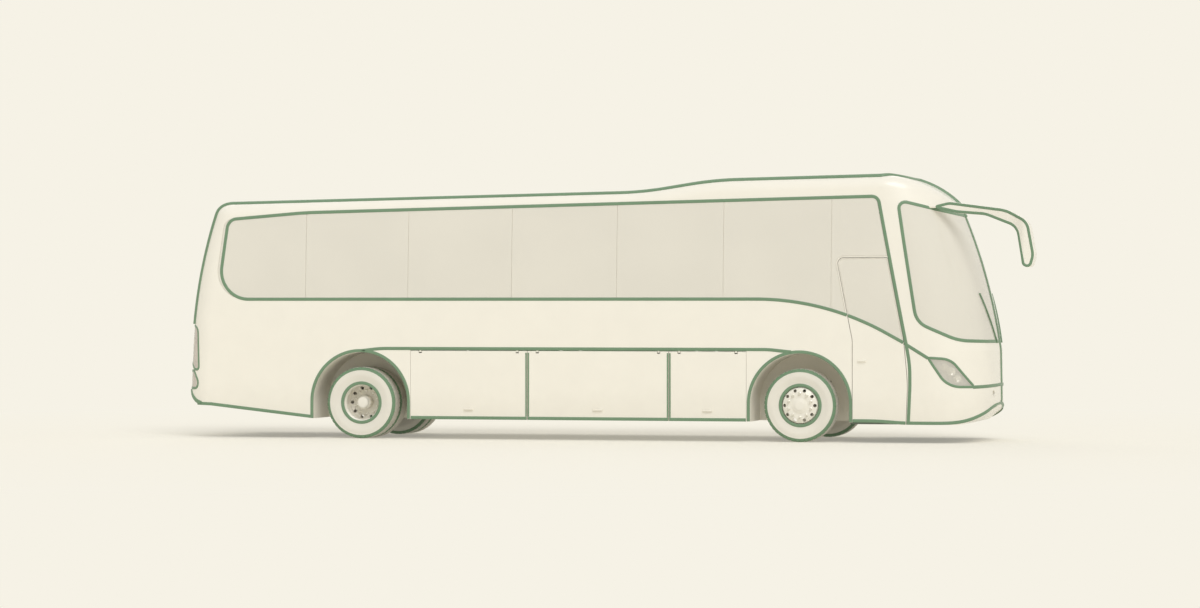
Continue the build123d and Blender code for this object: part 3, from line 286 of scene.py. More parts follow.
def finished(name, mesh, materials, smooth=SMOOTH):
    """The mesh's data, shaded smooth between its sharp edges."""
    data = bpy.data.meshes.new(name)
    bmesh.ops.recalc_face_normals(mesh, faces=mesh.faces)
    mesh.to_mesh(data)
    mesh.free()
    for material in materials if isinstance(materials, list) else [materials]:
        data.materials.append(material)
    data.shade_smooth()
    data.set_sharp_from_angle(angle=math.radians(smooth))
    return data


def add_object(name, mesh, materials, body, smooth=SMOOTH):
    piece = new_object(name, finished(name, mesh, materials, smooth))
    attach(piece, body)
    return piece


def join_rings(mesh, rings, closed=False, material=0):
    """Faces between each ring of points and the next. Closed joins the two ends; open ones get a cap."""
    faces = []
    for a, b in zip(rings, rings[1:] + (rings[:1] if closed else [])):
        for i in range(max(len(a), len(b))):
            j = i + 1
            corners = [a[i % len(a)], a[j % len(a)], b[j % len(b)], b[i % len(b)]]
            faces.append(mesh.faces.new(list(dict.fromkeys(corners))))
    if not closed:
        faces += [mesh.faces.new(end) for end in (rings[0], rings[-1]) if len(end) > 1]
    for face in faces:
        face.material_index = material
    return faces


def add_ring(mesh, centre, across, up, radius, count, phase=0.0):
    """Adds the points of a circle, or just its centre where the radius is 0."""
    ring = []
    for i in range(count if radius else 1):
        angle = 2 * math.pi * i / count + phase
        spoke = across * math.cos(angle) + up * math.sin(angle)
        ring.append(mesh.verts.new(centre + spoke * radius))
    return ring


def lathe(mesh, profile, centre, axis, segments, material=0, phase=0.0, closed=False):
    """Adds a turned shape. Profile is (distance along the axis, radius); closed joins its two ends."""
    axis = axis.normalized()
    crosswise = abs(axis.y) > 0.99
    across = X if crosswise else axis.orthogonal().normalized()
    up = axis.cross(across)
    rings = [add_ring(mesh, centre + axis * d, across, up, r, segments, phase) for d, r in profile]
    join_rings(mesh, rings, closed, material)


def tube(mesh, path, radius):
    """Adds a round tube along points."""
    last = len(path) - 1
    rings = []
    side = None
    for i, point in enumerate(path):
        along = (path[min(i + 1, last)] - path[max(i - 1, 0)]).normalized()
        side = along.orthogonal() if side is None else side - along * side.dot(along)
        side.normalize()
        rings.append(add_ring(mesh, point, side, along.cross(side), radius, TUBE_SIDES))
    join_rings(mesh, rings)


def grid_box(mesh, us, vs, ws, shape):
    """Adds the surface of a box of grid lines, each point moved by shape(u, v, w)."""
    made = {}

    def vert(i, j, k):
        if (i, j, k) not in made:
            made[i, j, k] = mesh.verts.new(shape(us[i], vs[j], ws[k]))
        return made[i, j, k]

    sizes = (len(us), len(vs), len(ws))
    for axis in range(3):
        a, b = [n for n in range(3) if n != axis]
        for end in (0, sizes[axis] - 1):
            for p in range(sizes[a] - 1):
                for q in range(sizes[b] - 1):
                    corners = []
                    for dp, dq in ((0, 0), (1, 0), (1, 1), (0, 1)):
                        key = [0, 0, 0]
                        key[axis] = end
                        key[a] = p + dp
                        key[b] = q + dq
                        corners.append(vert(*key))
                    mesh.faces.new(corners)


def soft_box(mesh, low, high, radius, turn=Matrix()):
    """Adds a box with rounded edges, moved by the matrix."""
    low = Vector(low)
    high = Vector(high)
    centre = (low + high) / 2
    half = (high - low) / 2
    radius = min(radius, *half)
    lines = []
    for size in half:
        inner = size - radius
        near = radius * (1 - math.cos(math.pi / 4))
        lines.append([-size, -size + near, -inner, inner, size - near, size])

    def shape(*place):
        core = Vector([max(-h + radius, min(h - radius, p)) for p, h in zip(place, half)])
        out = Vector(place) - core
        if out.length > TINY:
            out = out.normalized() * radius
        return turn @ (centre + core + out)

    grid_box(mesh, *lines, shape)


# Surfaces that the mouldings and fittings lie on
OUTSIDE = 3  # metres from the middle plane where rays start towards a side
ASTERN = 1  # metres behind the tail or ahead of the nose where they start along the bus
ROUND = 4  # metres from an upright line where they start towards it
JOINT_REACH = 0.011  # half the width of the joints that a moulding bridges
STEP_DOWN = 0.012  # a place this far behind its surroundings is off the surface
HALVINGS = 8  # of the stretch in which a surface ends


def surface_tree(names):
    verts = []
    faces = []
    for name in names:
        mesh = nodes[name].data
        base = len(verts)
        verts.extend(v.co.copy() for v in mesh.vertices)
        faces.extend([base + i for i in p.vertices] for p in mesh.polygons)
    return BVHTree.FromPolygons(verts, faces)


SKINS = {
    "body": [*BODYWORK, "windscreen", "side_windows", "rear_window", "headlamps", "tail_lamps"],
    "door": ["entrance_door", "entrance_door_glass"],
    "engine_lid": ["engine_lid"],
}
SKINS.update({door: [door] for door in LUGGAGE_DOORS})
SKIN_TREES = {body: surface_tree(names) for body, names in SKINS.items()}
NODE_TREES = {}


def strike(start, look, bodies=SKIN_TREES):
    """The first surface along a ray: body, point and normal, or None."""
    best = None
    for body in bodies:
        point, normal, _, distance = SKIN_TREES[body].ray_cast(start, look)
        if point is not None and (best is None or distance < best[3]):
            best = (body, point, normal, distance)
    return best[:3] if best else None


def strike_node(name, start, look):
    """The first point and normal of one CAD node along a ray."""
    if name not in NODE_TREES:
        NODE_TREES[name] = surface_tree([name])
    point, normal = NODE_TREES[name].ray_cast(start, look)[:2]
    return (point, normal) if point is not None else None


def from_side(side, reach=JOINT_REACH):
    """Finds the surface at (x, z) seen from a side, bridging joints narrower than twice the reach."""

    def find(place):
        hits = []
        for dx, dz in ((0, 0), (reach, 0), (-reach, 0), (0, reach), (0, -reach)):
            start = Vector((place.x + dx, side * OUTSIDE, place.y + dz))
            hits.append(strike(start, Y * -side))
        centre = hits[0]
        if centre is None:
            return None
        out = max((h for h in hits if h), key=lambda h: abs(h[1].y))
        if abs(out[1].y) - abs(centre[1].y) > STEP_DOWN:
            return None
        return centre[0], Vector((place.x, out[1].y, place.y)), out[2]

    return find


def from_round(centre_x):
    """Finds the surface at (angle, z) seen from all round an upright line; angle 0 is ahead."""

    def find(place):
        out = Vector((math.cos(place.x), math.sin(place.x), 0))
        return strike(Vector((centre_x, 0, place.y)) + out * ROUND, -out)

    return find


def last_hit(inside, outside, find, body):
    """The last hit on a body, going from a place on it to one off it, less the gap to the edge."""
    low = 0.0
    high = 1.0
    for _ in range(HALVINGS):
        middle = (low + high) / 2
        hit = find(inside.lerp(outside, middle))
        if hit and hit[0] == body:
            low = middle
        else:
            high = middle
    here = find(inside.lerp(outside, low))
    start = find(inside)
    span = (here[1] - start[1]).length
    if span < EDGE_GAP + SHORTEST:
        return None
    return find(inside.lerp(outside, low * (1 - EDGE_GAP / span)))


def runs_along(places, find):
    """Hits along the places, split wherever the body changes or the surface ends."""
    hits = [find(p) for p in places]
    last = len(hits) - 1

    def goes_on(i, j):
        return 0 <= j <= last and hits[j] and hits[j][0] == hits[i][0]

    def edge(i, j):
        """The hit, if any, that takes a run from place i to its surface's edge towards place j."""
        end = last_hit(places[i], places[j], find, hits[i][0]) if 0 <= j <= last else None
        return [end] if end else []

    runs = []
    for i, hit in enumerate(hits):
        if hit is None:
            continue
        if not goes_on(i, i - 1):
            runs.append(edge(i, i - 1))
        runs[-1].append(hit)
        if not goes_on(i, i + 1):
            runs[-1] += edge(i, i + 1)
    return [run for run in runs if len(run) > 1], hits


# Paths in side view
ARC_STEP = math.radians(9)


def rounded(points, closed, step=STEP):
    """Points along a polyline of (x, z, radius) whose corners are arcs. An open one ends at radius 0."""
    corners = []
    count = len(points)
    for i, (x, z, radius) in enumerate(points):
        here = Vector((x, z))
        if radius == 0:
            corners.append([here])
            continue
        before = (Vector(points[i - 1][:2]) - here).normalized()
        after = (Vector(points[(i + 1) % count][:2]) - here).normalized()
        half = before.angle(after) / 2
        reach = radius / math.tan(half)
        centre = here + (before + after).normalized() * radius / math.sin(half)
        start = here + before * reach
        end = here + after * reach
        turn = (start - centre).angle_signed(end - centre)
        pieces = max(2, int(abs(turn) * radius / step), int(abs(turn) / ARC_STEP))
        arc = []
        for k in range(pieces + 1):
            spoke = (start - centre).copy()
            spoke.rotate(Matrix.Rotation(-turn * k / pieces, 2))
            arc.append(centre + spoke)
        corners.append(arc)
    path = []
    for i, arc in enumerate(corners):
        path.extend(arc)
        if i < count - 1 or closed:
            following = corners[(i + 1) % count][0]
            gap = following - arc[-1]
            pieces = int(gap.length / step)
            path.extend(arc[-1] + gap * k / (pieces + 1) for k in range(1, pieces + 1))
    return path


def inset_path(path, distance):
    """A closed path that runs clockwise, moved inwards."""
    moved = []
    for i, point in enumerate(path):
        along = (path[(i + 1) % len(path)] - path[i - 1]).normalized()
        moved.append(point + Vector((along.y, -along.x)) * distance)
    return moved


# Cross-sections of a moulding: place across it in widths, height in shares of its own, -1 at its foot
FLAT = ((-0.5, -1), (-0.5, 0.35), (-0.40, 0.85), (-0.2, 1), (0.2, 1), (0.40, 0.85), (0.5, 0.35), (0.5, -1))
BEAD = (
    (-0.5, -1), (-0.5, 0.12), (-0.43, 0.46), (-0.29, 0.80), (-0.1, 0.98), (0.1, 0.98), (0.29, 0.80),
    (0.43, 0.46), (0.5, 0.12), (0.5, -1),
)


def strip(name, hits, closed=False, width=LINE, proud=PROUD, section=FLAT, material=trim):
    """A moulding laid along hits on a surface, with its foot sunk into it."""
    points = [h[1] for h in hits]
    count = len(points)
    mesh = bmesh.new()
    rings = []
    for i, (_, point, normal) in enumerate(hits):
        if closed:
            tangent = points[(i + 1) % count] - points[i - 1]
        else:
            tangent = points[min(i + 1, count - 1)] - points[max(i - 1, 0)]
        normal = normal.normalized()
        across = tangent.cross(normal).normalized()
        ring = []
        for place, share in section:
            height = share * (proud if share > 0 else SINK)
            ring.append(mesh.verts.new(point + across * place * width + normal * height))
        rings.append(ring)
    join_rings(mesh, rings, closed)
    add_object(name, mesh, material, hits[0][0])


def trace(name, places, find, closed=False, **look):
    """Mouldings along places on a surface, cut where it passes from one body to the next."""
    if closed:
        places = places + [places[0]]
    runs, hits = runs_along(places, find)
    if closed and all(hits) and len({h[0] for h in hits}) == 1:
        strip(name, hits[:-1], True, **look)
        return
    for number, run in enumerate(runs):
        strip(f"{name}_{number}", run, **look)


def side_line(name, points, side, closed=False, **look):
    trace(name, rounded(points, closed), from_side(side), closed, **look)


# Places on the CAD
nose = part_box("front_bumper")[1].x
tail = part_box("rear_bumper")[0].x
front_axle_x = sum(p.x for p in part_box("front_left_tyre")) / 2
rear_axle_x = sum(p.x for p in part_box("rear_left_tyres")) / 2
axle_z = sum(p.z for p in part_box("front_left_tyre")) / 2
sill_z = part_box("left_middle_luggage_door")[0].z
skirt_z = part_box("left_middle_luggage_door")[1].z
AXLES = {"front": front_axle_x, "rear": rear_axle_x}
ARCH_RADIUS = 0.715
ARCH_Z = 0.545
BELT_Z = 2.03
SEAM_Z = 3.5  # the entrance door's front edge, carried up to here,
SEAM_BACK = 1.616  # is this far behind the nose,
SEAM_LEAN = 0.198  # and it comes forward this much for each metre down
SEAM_SHIFT = 0.029  # the seam moulding lies ahead of the door's edge


def seam_x(z):
    return nose - SEAM_BACK + (SEAM_Z - z) * SEAM_LEAN + SEAM_SHIFT


# Mouldings along the sides, in side view: x, z, corner radius
WINDOW_PATH = [
    (tail + 0.680, 3.202, 0.150),
    (tail + 1.870, 3.297, 6.0),
    (seam_x(3.482), 3.482, 0.110),
    (seam_x(1.395), 1.395, 0.015),
    (nose - 2.324, BELT_Z, 3.9),
    (tail + 0.530, BELT_Z, 0.420),
]
SEAM_PATH = [
    (seam_x(1.42), 1.42, 0),
    (seam_x(1.36) + 0.045, 1.1, 1.5),
    (nose - 1.117, 0.80, 2.5),
    (nose - 1.139, 0.298, 0),
]
SKIRT_PATH = [
    (rear_axle_x + 0.02, skirt_z - 0.006, 0),
    (rear_axle_x + 0.30, skirt_z + 0.028, 2.0),
    (front_axle_x - 0.45, skirt_z + 0.028, 1.5),
    (front_axle_x - 0.12, skirt_z - 0.006, 0),
]
SWOOSH_PATH = [(seam_x(1.395) - 0.004, 1.3925, 0), (nose - 0.862, 1.199, 0)]
ARCH_LINE = 0.044  # width of the moulding round a wheel arch
ARCH_COUNT = 40
ARCH_GAP = 0.045  # from an arch to the end of a sill moulding
SILL_FROM_TAIL = 0.45
SILL_FROM_NOSE = 0.80
SILL_EASE = 12  # passes that smooth a sill moulding's height
EDGE_STEP = 0.002  # steps up in which the body's lower edge is looked for
EDGE_FROM = 0.15
EDGE_TO = 1.4
DOOR_ENDS = (("rear", "front"), ("middle", "rear"), ("middle", "front"), ("front", "rear"))
DOOR_INSET = 0.0135  # from a luggage door's end to the middle of its moulding


def lowest(x, side):
    """The height of the body's lower edge at x, or None in a wheel arch."""
    find = from_side(side, reach=0.0)
    z = EDGE_FROM
    while z < EDGE_TO:
        if find(Vector((x, z))):
            return z
        z += EDGE_STEP
    return None


def eased(places, passes):
    """The places with their heights smoothed, the two ends kept."""
    for _ in range(passes):
        heights = [p.y for p in places]
        for i in range(1, len(places) - 1):
            places[i].y = (heights[i - 1] + heights[i] + heights[i + 1]) / 3
    return places


def sill_places(low_x, high_x, side):
    xs = spaced(low_x, high_x, round((high_x - low_x) / STEP))
    return eased([Vector((x, lowest(x, side) + LINE / 2)) for x in xs], SILL_EASE)


def arch_places(axle_x):
    radius = ARCH_RADIUS + ARCH_LINE / 2
    foot_z = sill_z + 0.004
    places = [Vector((axle_x - radius, foot_z))]
    for angle in spaced(0, math.pi, ARCH_COUNT):
        places.append(Vector((axle_x - radius * math.cos(angle), ARCH_Z + radius * math.sin(angle))))
    return places + [Vector((axle_x + radius, foot_z))]


for side_name, side in SIDES.items():
    side_line(f"{side_name}_window_moulding", WINDOW_PATH, side, closed=True)
    side_line(f"{side_name}_seam_moulding", SEAM_PATH, side, proud=0.0068)
    side_line(f"{side_name}_skirt_moulding", SKIRT_PATH, side)
    side_line(f"{side_name}_swoosh_moulding", SWOOSH_PATH, side, proud=0.0054)
    for axle_name, axle_x in AXLES.items():
        name = f"{side_name}_{axle_name}_arch_moulding"
        trace(name, arch_places(axle_x), from_side(side), width=ARCH_LINE)
    ends = [tail + SILL_FROM_TAIL]
    for axle_x in (rear_axle_x, front_axle_x):
        ends += [axle_x - ARCH_RADIUS - ARCH_GAP, axle_x + ARCH_RADIUS + ARCH_GAP]
    ends.append(nose - SILL_FROM_NOSE)
    for place, low_x, high_x in zip(BAYS, ends[::2], ends[1::2]):
        trace(f"{side_name}_{place}_sill_moulding", sill_places(low_x, high_x, side), from_side(side))
    for bay, end_name in DOOR_ENDS:
        low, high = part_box(f"{side_name}_{bay}_luggage_door")
        x = low.x + DOOR_INSET if end_name == "rear" else high.x - DOOR_INSET
        path = [(x, sill_z + LINE + 0.003, 0), (x, skirt_z - 0.028, 0)]
        side_line(f"{side_name}_{bay}_door_{end_name}_moulding", path, side, width=0.021, proud=0.005)

# Mouldings round a node's outer face
MERGE = 1e-5
SHARP = math.radians(30)  # a face ends where the surface turns further
MIDDLE = Z * 1.7  # an outer face looks away from here
LEAST_AREA = 0.01
LEAST_OUTWARD = 0.2  # cosine of its angle to straight away, at least
LEAST_STEPS = 8  # in a line with even spacing


def smooth_regions(mesh):
    """The mesh's faces in groups, split at sharp edges."""
    seen = set()
    regions = []
    for face in mesh.faces:
        if face.index in seen:
            continue
        seen.add(face.index)
        region = [face]
        stack = [face]
        while stack:
            current = stack.pop()
            for edge in current.edges:
                for other in edge.link_faces:
                    if other.index in seen or current.normal.angle(other.normal, 0) > SHARP:
                        continue
                    seen.add(other.index)
                    region.append(other)
                    stack.append(other)
        regions.append(region)
    return regions


def outer_rims(name):
    """Closed rims of a node's outward-looking faces, longest first: lists of (point, normal)."""
    mesh = bmesh.new()
    mesh.from_mesh(nodes[name].data)
    bmesh.ops.remove_doubles(mesh, verts=mesh.verts, dist=MERGE)
    mesh.faces.ensure_lookup_table()
    rims = []
    for region in smooth_regions(mesh):
        area = 0.0
        outward = 0.0
        for face in region:
            away = (face.calc_center_median() - MIDDLE).normalized()
            area += face.calc_area()
            outward += face.normal.dot(away) * face.calc_area()
        if area < LEAST_AREA or outward < LEAST_OUTWARD * area:
            continue
        inside = {face.index for face in region}
        border = {}
        for face in region:
            for loop in face.loops:
                if any(other.index in inside and other is not face for other in loop.edge.link_faces):
                    continue
                following = loop.link_loop_next.vert.index
                border[loop.vert.index] = (following, loop.vert.co.copy(), face.normal.copy())
        while border:
            rim = []
            key = next(iter(border))
            while key in border:
                following, point, normal = border.pop(key)
                rim.append((point, normal))
                key = following
            rims.append((sum((a[0] - b[0]).length for a, b in zip(rim, rim[1:])), rim))
    mesh.free()
    return [rim for _, rim in sorted(rims, key=lambda r: -r[0])]


def even(rim, step=STEP, closed=False):
    """Points and normals at even spacing, as hits on the body."""
    points = [p for p, n in rim] + ([rim[0][0]] if closed else [])
    normals = [n for p, n in rim] + ([rim[0][1]] if closed else [])
    lengths = [0.0]
    for a, b in zip(points, points[1:]):
        lengths.append(lengths[-1] + (b - a).length)
    count = max(LEAST_STEPS, round(lengths[-1] / step))
    hits = []
    k = 0
    for i in range(count if closed else count + 1):
        s = min(lengths[-1] * i / count, lengths[-1] - TINY)
        while lengths[k + 1] < s:
            k += 1
        t = (s - lengths[k]) / max(TINY, lengths[k + 1] - lengths[k])
        normal = normals[k].lerp(normals[k + 1], t).normalized()
        hits.append(("body", points[k].lerp(points[k + 1], t), normal))
    return hits


LAMP_LINE = {"width": 0.036, "step": 0.02}  # of the mouldings round the lamps


def rim_moulding(node, name, width=LINE, step=STEP, count=1):
    for number, rim in enumerate(outer_rims(node)[:count]):
        strip(f"{name}_{number}", even(rim, step, closed=True), True, width)


rim_moulding("windscreen", "windscreen_moulding")
rim_moulding("headlamps", "headlamp_moulding", count=2, **LAMP_LINE)
rim_moulding("tail_lamps", "tail_lamp_moulding", count=4, **LAMP_LINE)
rim_moulding("rear_window", "rear_window_moulding")

# Mouldings round the nose and tail, in angles about an upright line behind or ahead of them
nose_centre = nose - 1.25
tail_centre = tail + 1.25
BUMPER_TURN = 0.785
BUMPER_HEIGHTS = (0.789, 0.803, 0.815, 0.803, 0.789)
REAR_SILL_TURN = 1.01
REAR_SILL_HEIGHTS = (0.491, 0.512, 0.530, 0.530, 0.530, 0.512, 0.491)
CHIN_TURN = 1.235
CHIN_COUNT = 120
CHIN_EASE = 60
CHIN_FROM = 0.2
UPRIGHT_Z = 0.70  # height at which the bumper stands upright
BEVEL = 0.020  # how much nearer the line its lower edge may be


def round_line(name, centre_x, angles, heights, count):
    """A moulding round an upright line, between two angles, through evenly spaced heights."""
    places = []
    for i in range(count + 1):
        t = i / count
        s = t * (len(heights) - 1)
        k = min(int(s), len(heights) - 2)
        z = heights[k] + (heights[k + 1] - heights[k]) * (s - k)
        places.append(Vector((angles[0] + (angles[1] - angles[0]) * t, z)))
    trace(name, places, from_round(centre_x))


def chin_places():
    """Places round the nose, just above the front bumper's lower edge."""
    find = from_round(nose_centre)
    axis = X * nose_centre
    places = []
    for angle in spaced(-CHIN_TURN, CHIN_TURN, CHIN_COUNT):
        full = (find(Vector((angle, UPRIGHT_Z)))[1] - axis).xy.length
        z = CHIN_FROM
        while z < UPRIGHT_Z:
            hit = find(Vector((angle, z)))
            if hit and (hit[1] - axis).xy.length > full - BEVEL:
                break
            z += EDGE_STEP
        places.append(Vector((angle, z + LINE / 2)))
    return eased(places, CHIN_EASE)


round_line("bumper_moulding", nose_centre, (-BUMPER_TURN, BUMPER_TURN), BUMPER_HEIGHTS, 60)
trace("chin_moulding", chin_places(), from_round(nose_centre))
rear_sill_angles = (math.pi - REAR_SILL_TURN, math.pi + REAR_SILL_TURN)
round_line("rear_sill_moulding", tail_centre, rear_sill_angles, REAR_SILL_HEIGHTS, 100)

# Beads along the roof edges, down the rear corners and along the middle of the nose
FAN = 5  # metres from a fan's middle where its rays start
ABOVE = 6  # height from which rays look down
BEAD_Y = 1.06
bead_rear_x = tail + 0.95  # behind this the roof bead turns down
bead_turn_x = nose - 1.60  # ahead of this it crosses over in an arc
bead_front_x = nose - 1.20
dome_x = nose - 1.15
DOME_Z = 2.75
ROOF_COUNT = 200
CROSSING_COUNT = 60
CORNER_FOOT = (  # where the side ends above the rear bumper's bevel: turn from astern, height
    (0.742, 0.662), (0.760, 0.632), (0.785, 0.602), (0.815, 0.572), (0.845, 0.543), (0.875, 0.520),
    (0.910, 0.504),
)


def body_hits(rays):
    """Points and normals where rays, each a start and a look, meet the body."""
    hits = [strike(start, look, ["body"]) for start, look in rays]
    return [hit[1:] for hit in hits if hit]


def fan_hits(x, y, low, high, count):
    """Hits in a fore-and-aft plane, looking at a point inside from angles above straight ahead."""
    rays = []
    for degrees in spaced(low, high, count):
        out = Vector((math.cos(math.radians(degrees)), 0, math.sin(math.radians(degrees))))
        rays.append((Vector((x, y, DOME_Z)) + out * FAN, -out))
    return body_hits(rays)


def level_hits(look, y, start, step, count):
    """Hits at evenly spaced heights, looking ahead at the tail or back at the nose."""
    x = tail - ASTERN if look > 0 else nose + ASTERN
    return body_hits([(Vector((x, y, start + step * i)), X * look) for i in range(count)])


def edge_hits(y):
    """Hits from above along one roof edge and over to the middle."""
    starts = [Vector((x, y, ABOVE)) for x in spaced(bead_rear_x, bead_turn_x, ROOF_COUNT)[:-1]]
    for angle in spaced(0, math.pi / 2, CROSSING_COUNT):
        x = bead_turn_x + (bead_front_x - bead_turn_x) * math.sin(angle)
        starts.append(Vector((x, y * math.cos(angle), ABOVE)))
    return body_hits([(start, -Z) for start in starts])


roof_bead = []
for side_name, side in SIDES.items():
    y = side * BEAD_Y
    edge = level_hits(1, y, 1.665, 0.03, 37) + fan_hits(bead_rear_x, y, 179, 91, 40) + edge_hits(y)
    roof_bead += edge if side < 0 else edge[-2::-1]
    foot = level_hits(1, y, 0.700, -0.015, 2)
    for turn, z in CORNER_FOOT:
        foot.append(from_round(tail_centre)(Vector((math.pi - side * turn, z)))[1:])
    strip(f"{side_name}_rear_corner_bead", even(foot, 0.02), proud=0.016, width=0.06, section=BEAD)
strip("roof_bead", even(roof_bead, 0.04), proud=0.030, width=0.074, section=BEAD)
strip("dome_bead", even(fan_hits(dome_x, 0, 92, 36, 30)), proud=0.034, width=0.09, section=BEAD)
over = fan_hits(dome_x, 0, 36.5, 4, 18) + level_hits(-1, 0, DOME_Z, -0.0398, 49)
strip("nose_bead", even(over), width=0.100, proud=0.014)
strip("chin_bead", even(level_hits(-1, 0, 0.790, -0.02, 12)), width=0.100, proud=0.012)

# Wheels
TYRE_HALF = [  # half a tyre's profile: distance from its middle plane, radius
    (0.1150, 0.2976), (0.1185, 0.3030), (0.1225, 0.3090), (0.1235, 0.3180), (0.1265, 0.3300),
    (0.1350, 0.3620), (0.1435, 0.3920), (0.1450, 0.4020), (0.1450, 0.4250), (0.1425, 0.4470),
    (0.1400, 0.4620), (0.1416, 0.4640), (0.1410, 0.4710), (0.1385, 0.4730), (0.1345, 0.4860),
    (0.1290, 0.5000), (0.1215, 0.5135), (0.1140, 0.5195), (0.1060, 0.5215), (0.0700, 0.5218),
    (0.0690, 0.5100), (0.0560, 0.5100), (0.0550, 0.5219), (0.0260, 0.5220), (0.0250, 0.5100),
    (0.0130, 0.5100), (0.0120, 0.5220),
]
TYRE_REACH = 0.145  # from a tyre's middle plane to its widest place
SHOULDER = range(15, 20)  # points of the half profile that the cross grooves cut
RING_FROM = 0.4725  # the sage ring on a tyre's shoulder starts at this radius
RING_DEPTH = 0.1135  # and ends this far from the tyre's middle plane
TREAD_BLOCKS = 48
BLOCK_RINGS = ((0.02, 0), (0.80, 0), (0.84, 1), (0.98, 1))  # share of a block's pitch, and whether grooved
GROOVE = 0.009
FADE_RADIUS = 0.505  # inside this radius a groove is shallow
FADE = 0.35  # of its depth is left there
FADE_DEPTH = 0.11  # beyond this distance from the middle plane a groove also cuts inwards,
FADE_INWARD = 0.975  # to this share of that distance
TRIM_RING = [
    (0.1160, 0.263), (0.1230, 0.264), (0.1290, 0.270), (0.1305, 0.278), (0.1305, 0.294),
    (0.1290, 0.303), (0.1250, 0.309), (0.1185, 0.3105), (0.1170, 0.3000),
]
NUT_COUNT = 10
NUT_CIRCLE = 0.1675
NUT_FLANGE = [(-0.002, 0.023), (0.003, 0.023), (0.005, 0.020)]
NUT_HEX = [(0.003, 0.0185), (0.020, 0.0185), (0.024, 0.0155), (0.0242, 0)]
NUT_STUD = [(0.020, 0.0105), (0.036, 0.0105), (0.038, 0.0090), (0.038, 0)]
HUB_CAP = [(-0.002, 0.078), (0.004, 0.078), (0.009, 0.070), (0.011, 0.050), (0.0115, 0)]


def add_tyre(mesh, centre):
    profile = TYRE_HALF + [(-d, r) for d, r in reversed(TYRE_HALF)]
    count = len(profile)
    rings = []
    for block in range(TREAD_BLOCKS):
        for share, cut in BLOCK_RINGS:
            angle = 2 * math.pi * (block + share) / TREAD_BLOCKS
            ring = []
            for i, (d, r) in enumerate(profile):
                if cut and min(i, count - 1 - i) in SHOULDER:
                    r -= GROOVE * (FADE if r < FADE_RADIUS else 1)
                    d *= FADE_INWARD if abs(d) > FADE_DEPTH else 1
                ring.append(mesh.verts.new(centre + Vector((r * math.cos(angle), d, r * math.sin(angle)))))
            rings.append(ring)
    for number, face in enumerate(join_rings(mesh, rings, closed=True)):
        near = profile[number % count]
        far = profile[(number + 1) % count]
        if min(near[1], far[1]) >= RING_FROM:
            face.material_index = 1 if min(abs(near[0]), abs(far[0])) >= RING_DEPTH else 2


def add_wheel(axle_name, side_name):
    """A wheel's tyre or twin tyres, and the trim ring, nuts and hub cap of its outer rim."""
    plural = "s" if axle_name == "rear" else ""
    tyre_node = f"{axle_name}_{side_name}_tyre{plural}"
    rim_node = f"{axle_name}_{side_name}_rim{plural}"
    body = f"{axle_name}_{side_name}_wheel{plural}"
    axle_x = AXLES[axle_name]
    side = SIDES[side_name]
    low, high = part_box(tyre_node)
    outer = max(abs(low.y), abs(high.y)) - TYRE_REACH
    inner = min(abs(low.y), abs(high.y)) + TYRE_REACH
    mesh = bmesh.new()
    for y in sorted({round(outer, 4), round(inner, 4)}):
        add_tyre(mesh, Vector((axle_x, side * y, axle_z)))
    piece = add_object(f"{tyre_node}_detail", mesh, [sidewall, shoulder, tread], body, smooth=28)
    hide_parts(tyre_node)
    centre = Vector((axle_x, side * outer, axle_z))
    out = Y * side
    mesh = bmesh.new()
    lathe(mesh, TRIM_RING, centre, out, 96, closed=True)
    add_object(f"{rim_node}_trim_ring", mesh, trim, body)
    mesh = bmesh.new()
    for i in range(NUT_COUNT):
        angle = 2 * math.pi * (i + 0.5) / NUT_COUNT
        place = centre + Vector((math.cos(angle), 0, math.sin(angle))) * NUT_CIRCLE
        foot = strike_node(rim_node, place + out, -out)[0]
        lathe(mesh, NUT_FLANGE, foot, out, 20)
        lathe(mesh, NUT_HEX, foot, out, 6, phase=angle)
        lathe(mesh, NUT_STUD, foot, out, 12)
    add_object(f"{rim_node}_nuts", mesh, bright, body)
    hit = strike_node(rim_node, centre + out, -out) or strike_node("rear_axle", centre + out, -out)
    if hit:
        mesh = bmesh.new()
        lathe(mesh, HUB_CAP, hit[0], out, 40)
        add_object(f"{rim_node}_hub_cap", mesh, wheel_paint, body)


for axle_name in AXLES:
    for side_name in SIDES:
        add_wheel(axle_name, side_name)

# Fittings that follow the bodywork
PAD_FOOT = -0.003  # height of a pad's lowest outline, sunk into the surface
PAD_LEVELS = (  # share of the outline, share of the height
    (1.0, 0.45), (0.985, 0.9), (0.96, 1), (0.72, 1), (0.48, 1), (0.24, 1),
)
PROBE = 0.6  # metres in front of a place from which its surface is looked for
CORNER_PIECES = 6
PLATE_Z = 0.605
behind_x = tail - 0.3


def rounded_rect(width, height, radius):
    outline = []
    for turn, (sx, sy) in enumerate(((1, 1), (-1, 1), (-1, -1), (1, -1))):
        for k in range(CORNER_PIECES + 1):
            angle = math.pi / 2 * (turn + k / CORNER_PIECES)
            x = sx * (width / 2 - radius) + radius * math.cos(angle)
            y = sy * (height / 2 - radius) + radius * math.sin(angle)
            outline.append((x, y))
    return outline


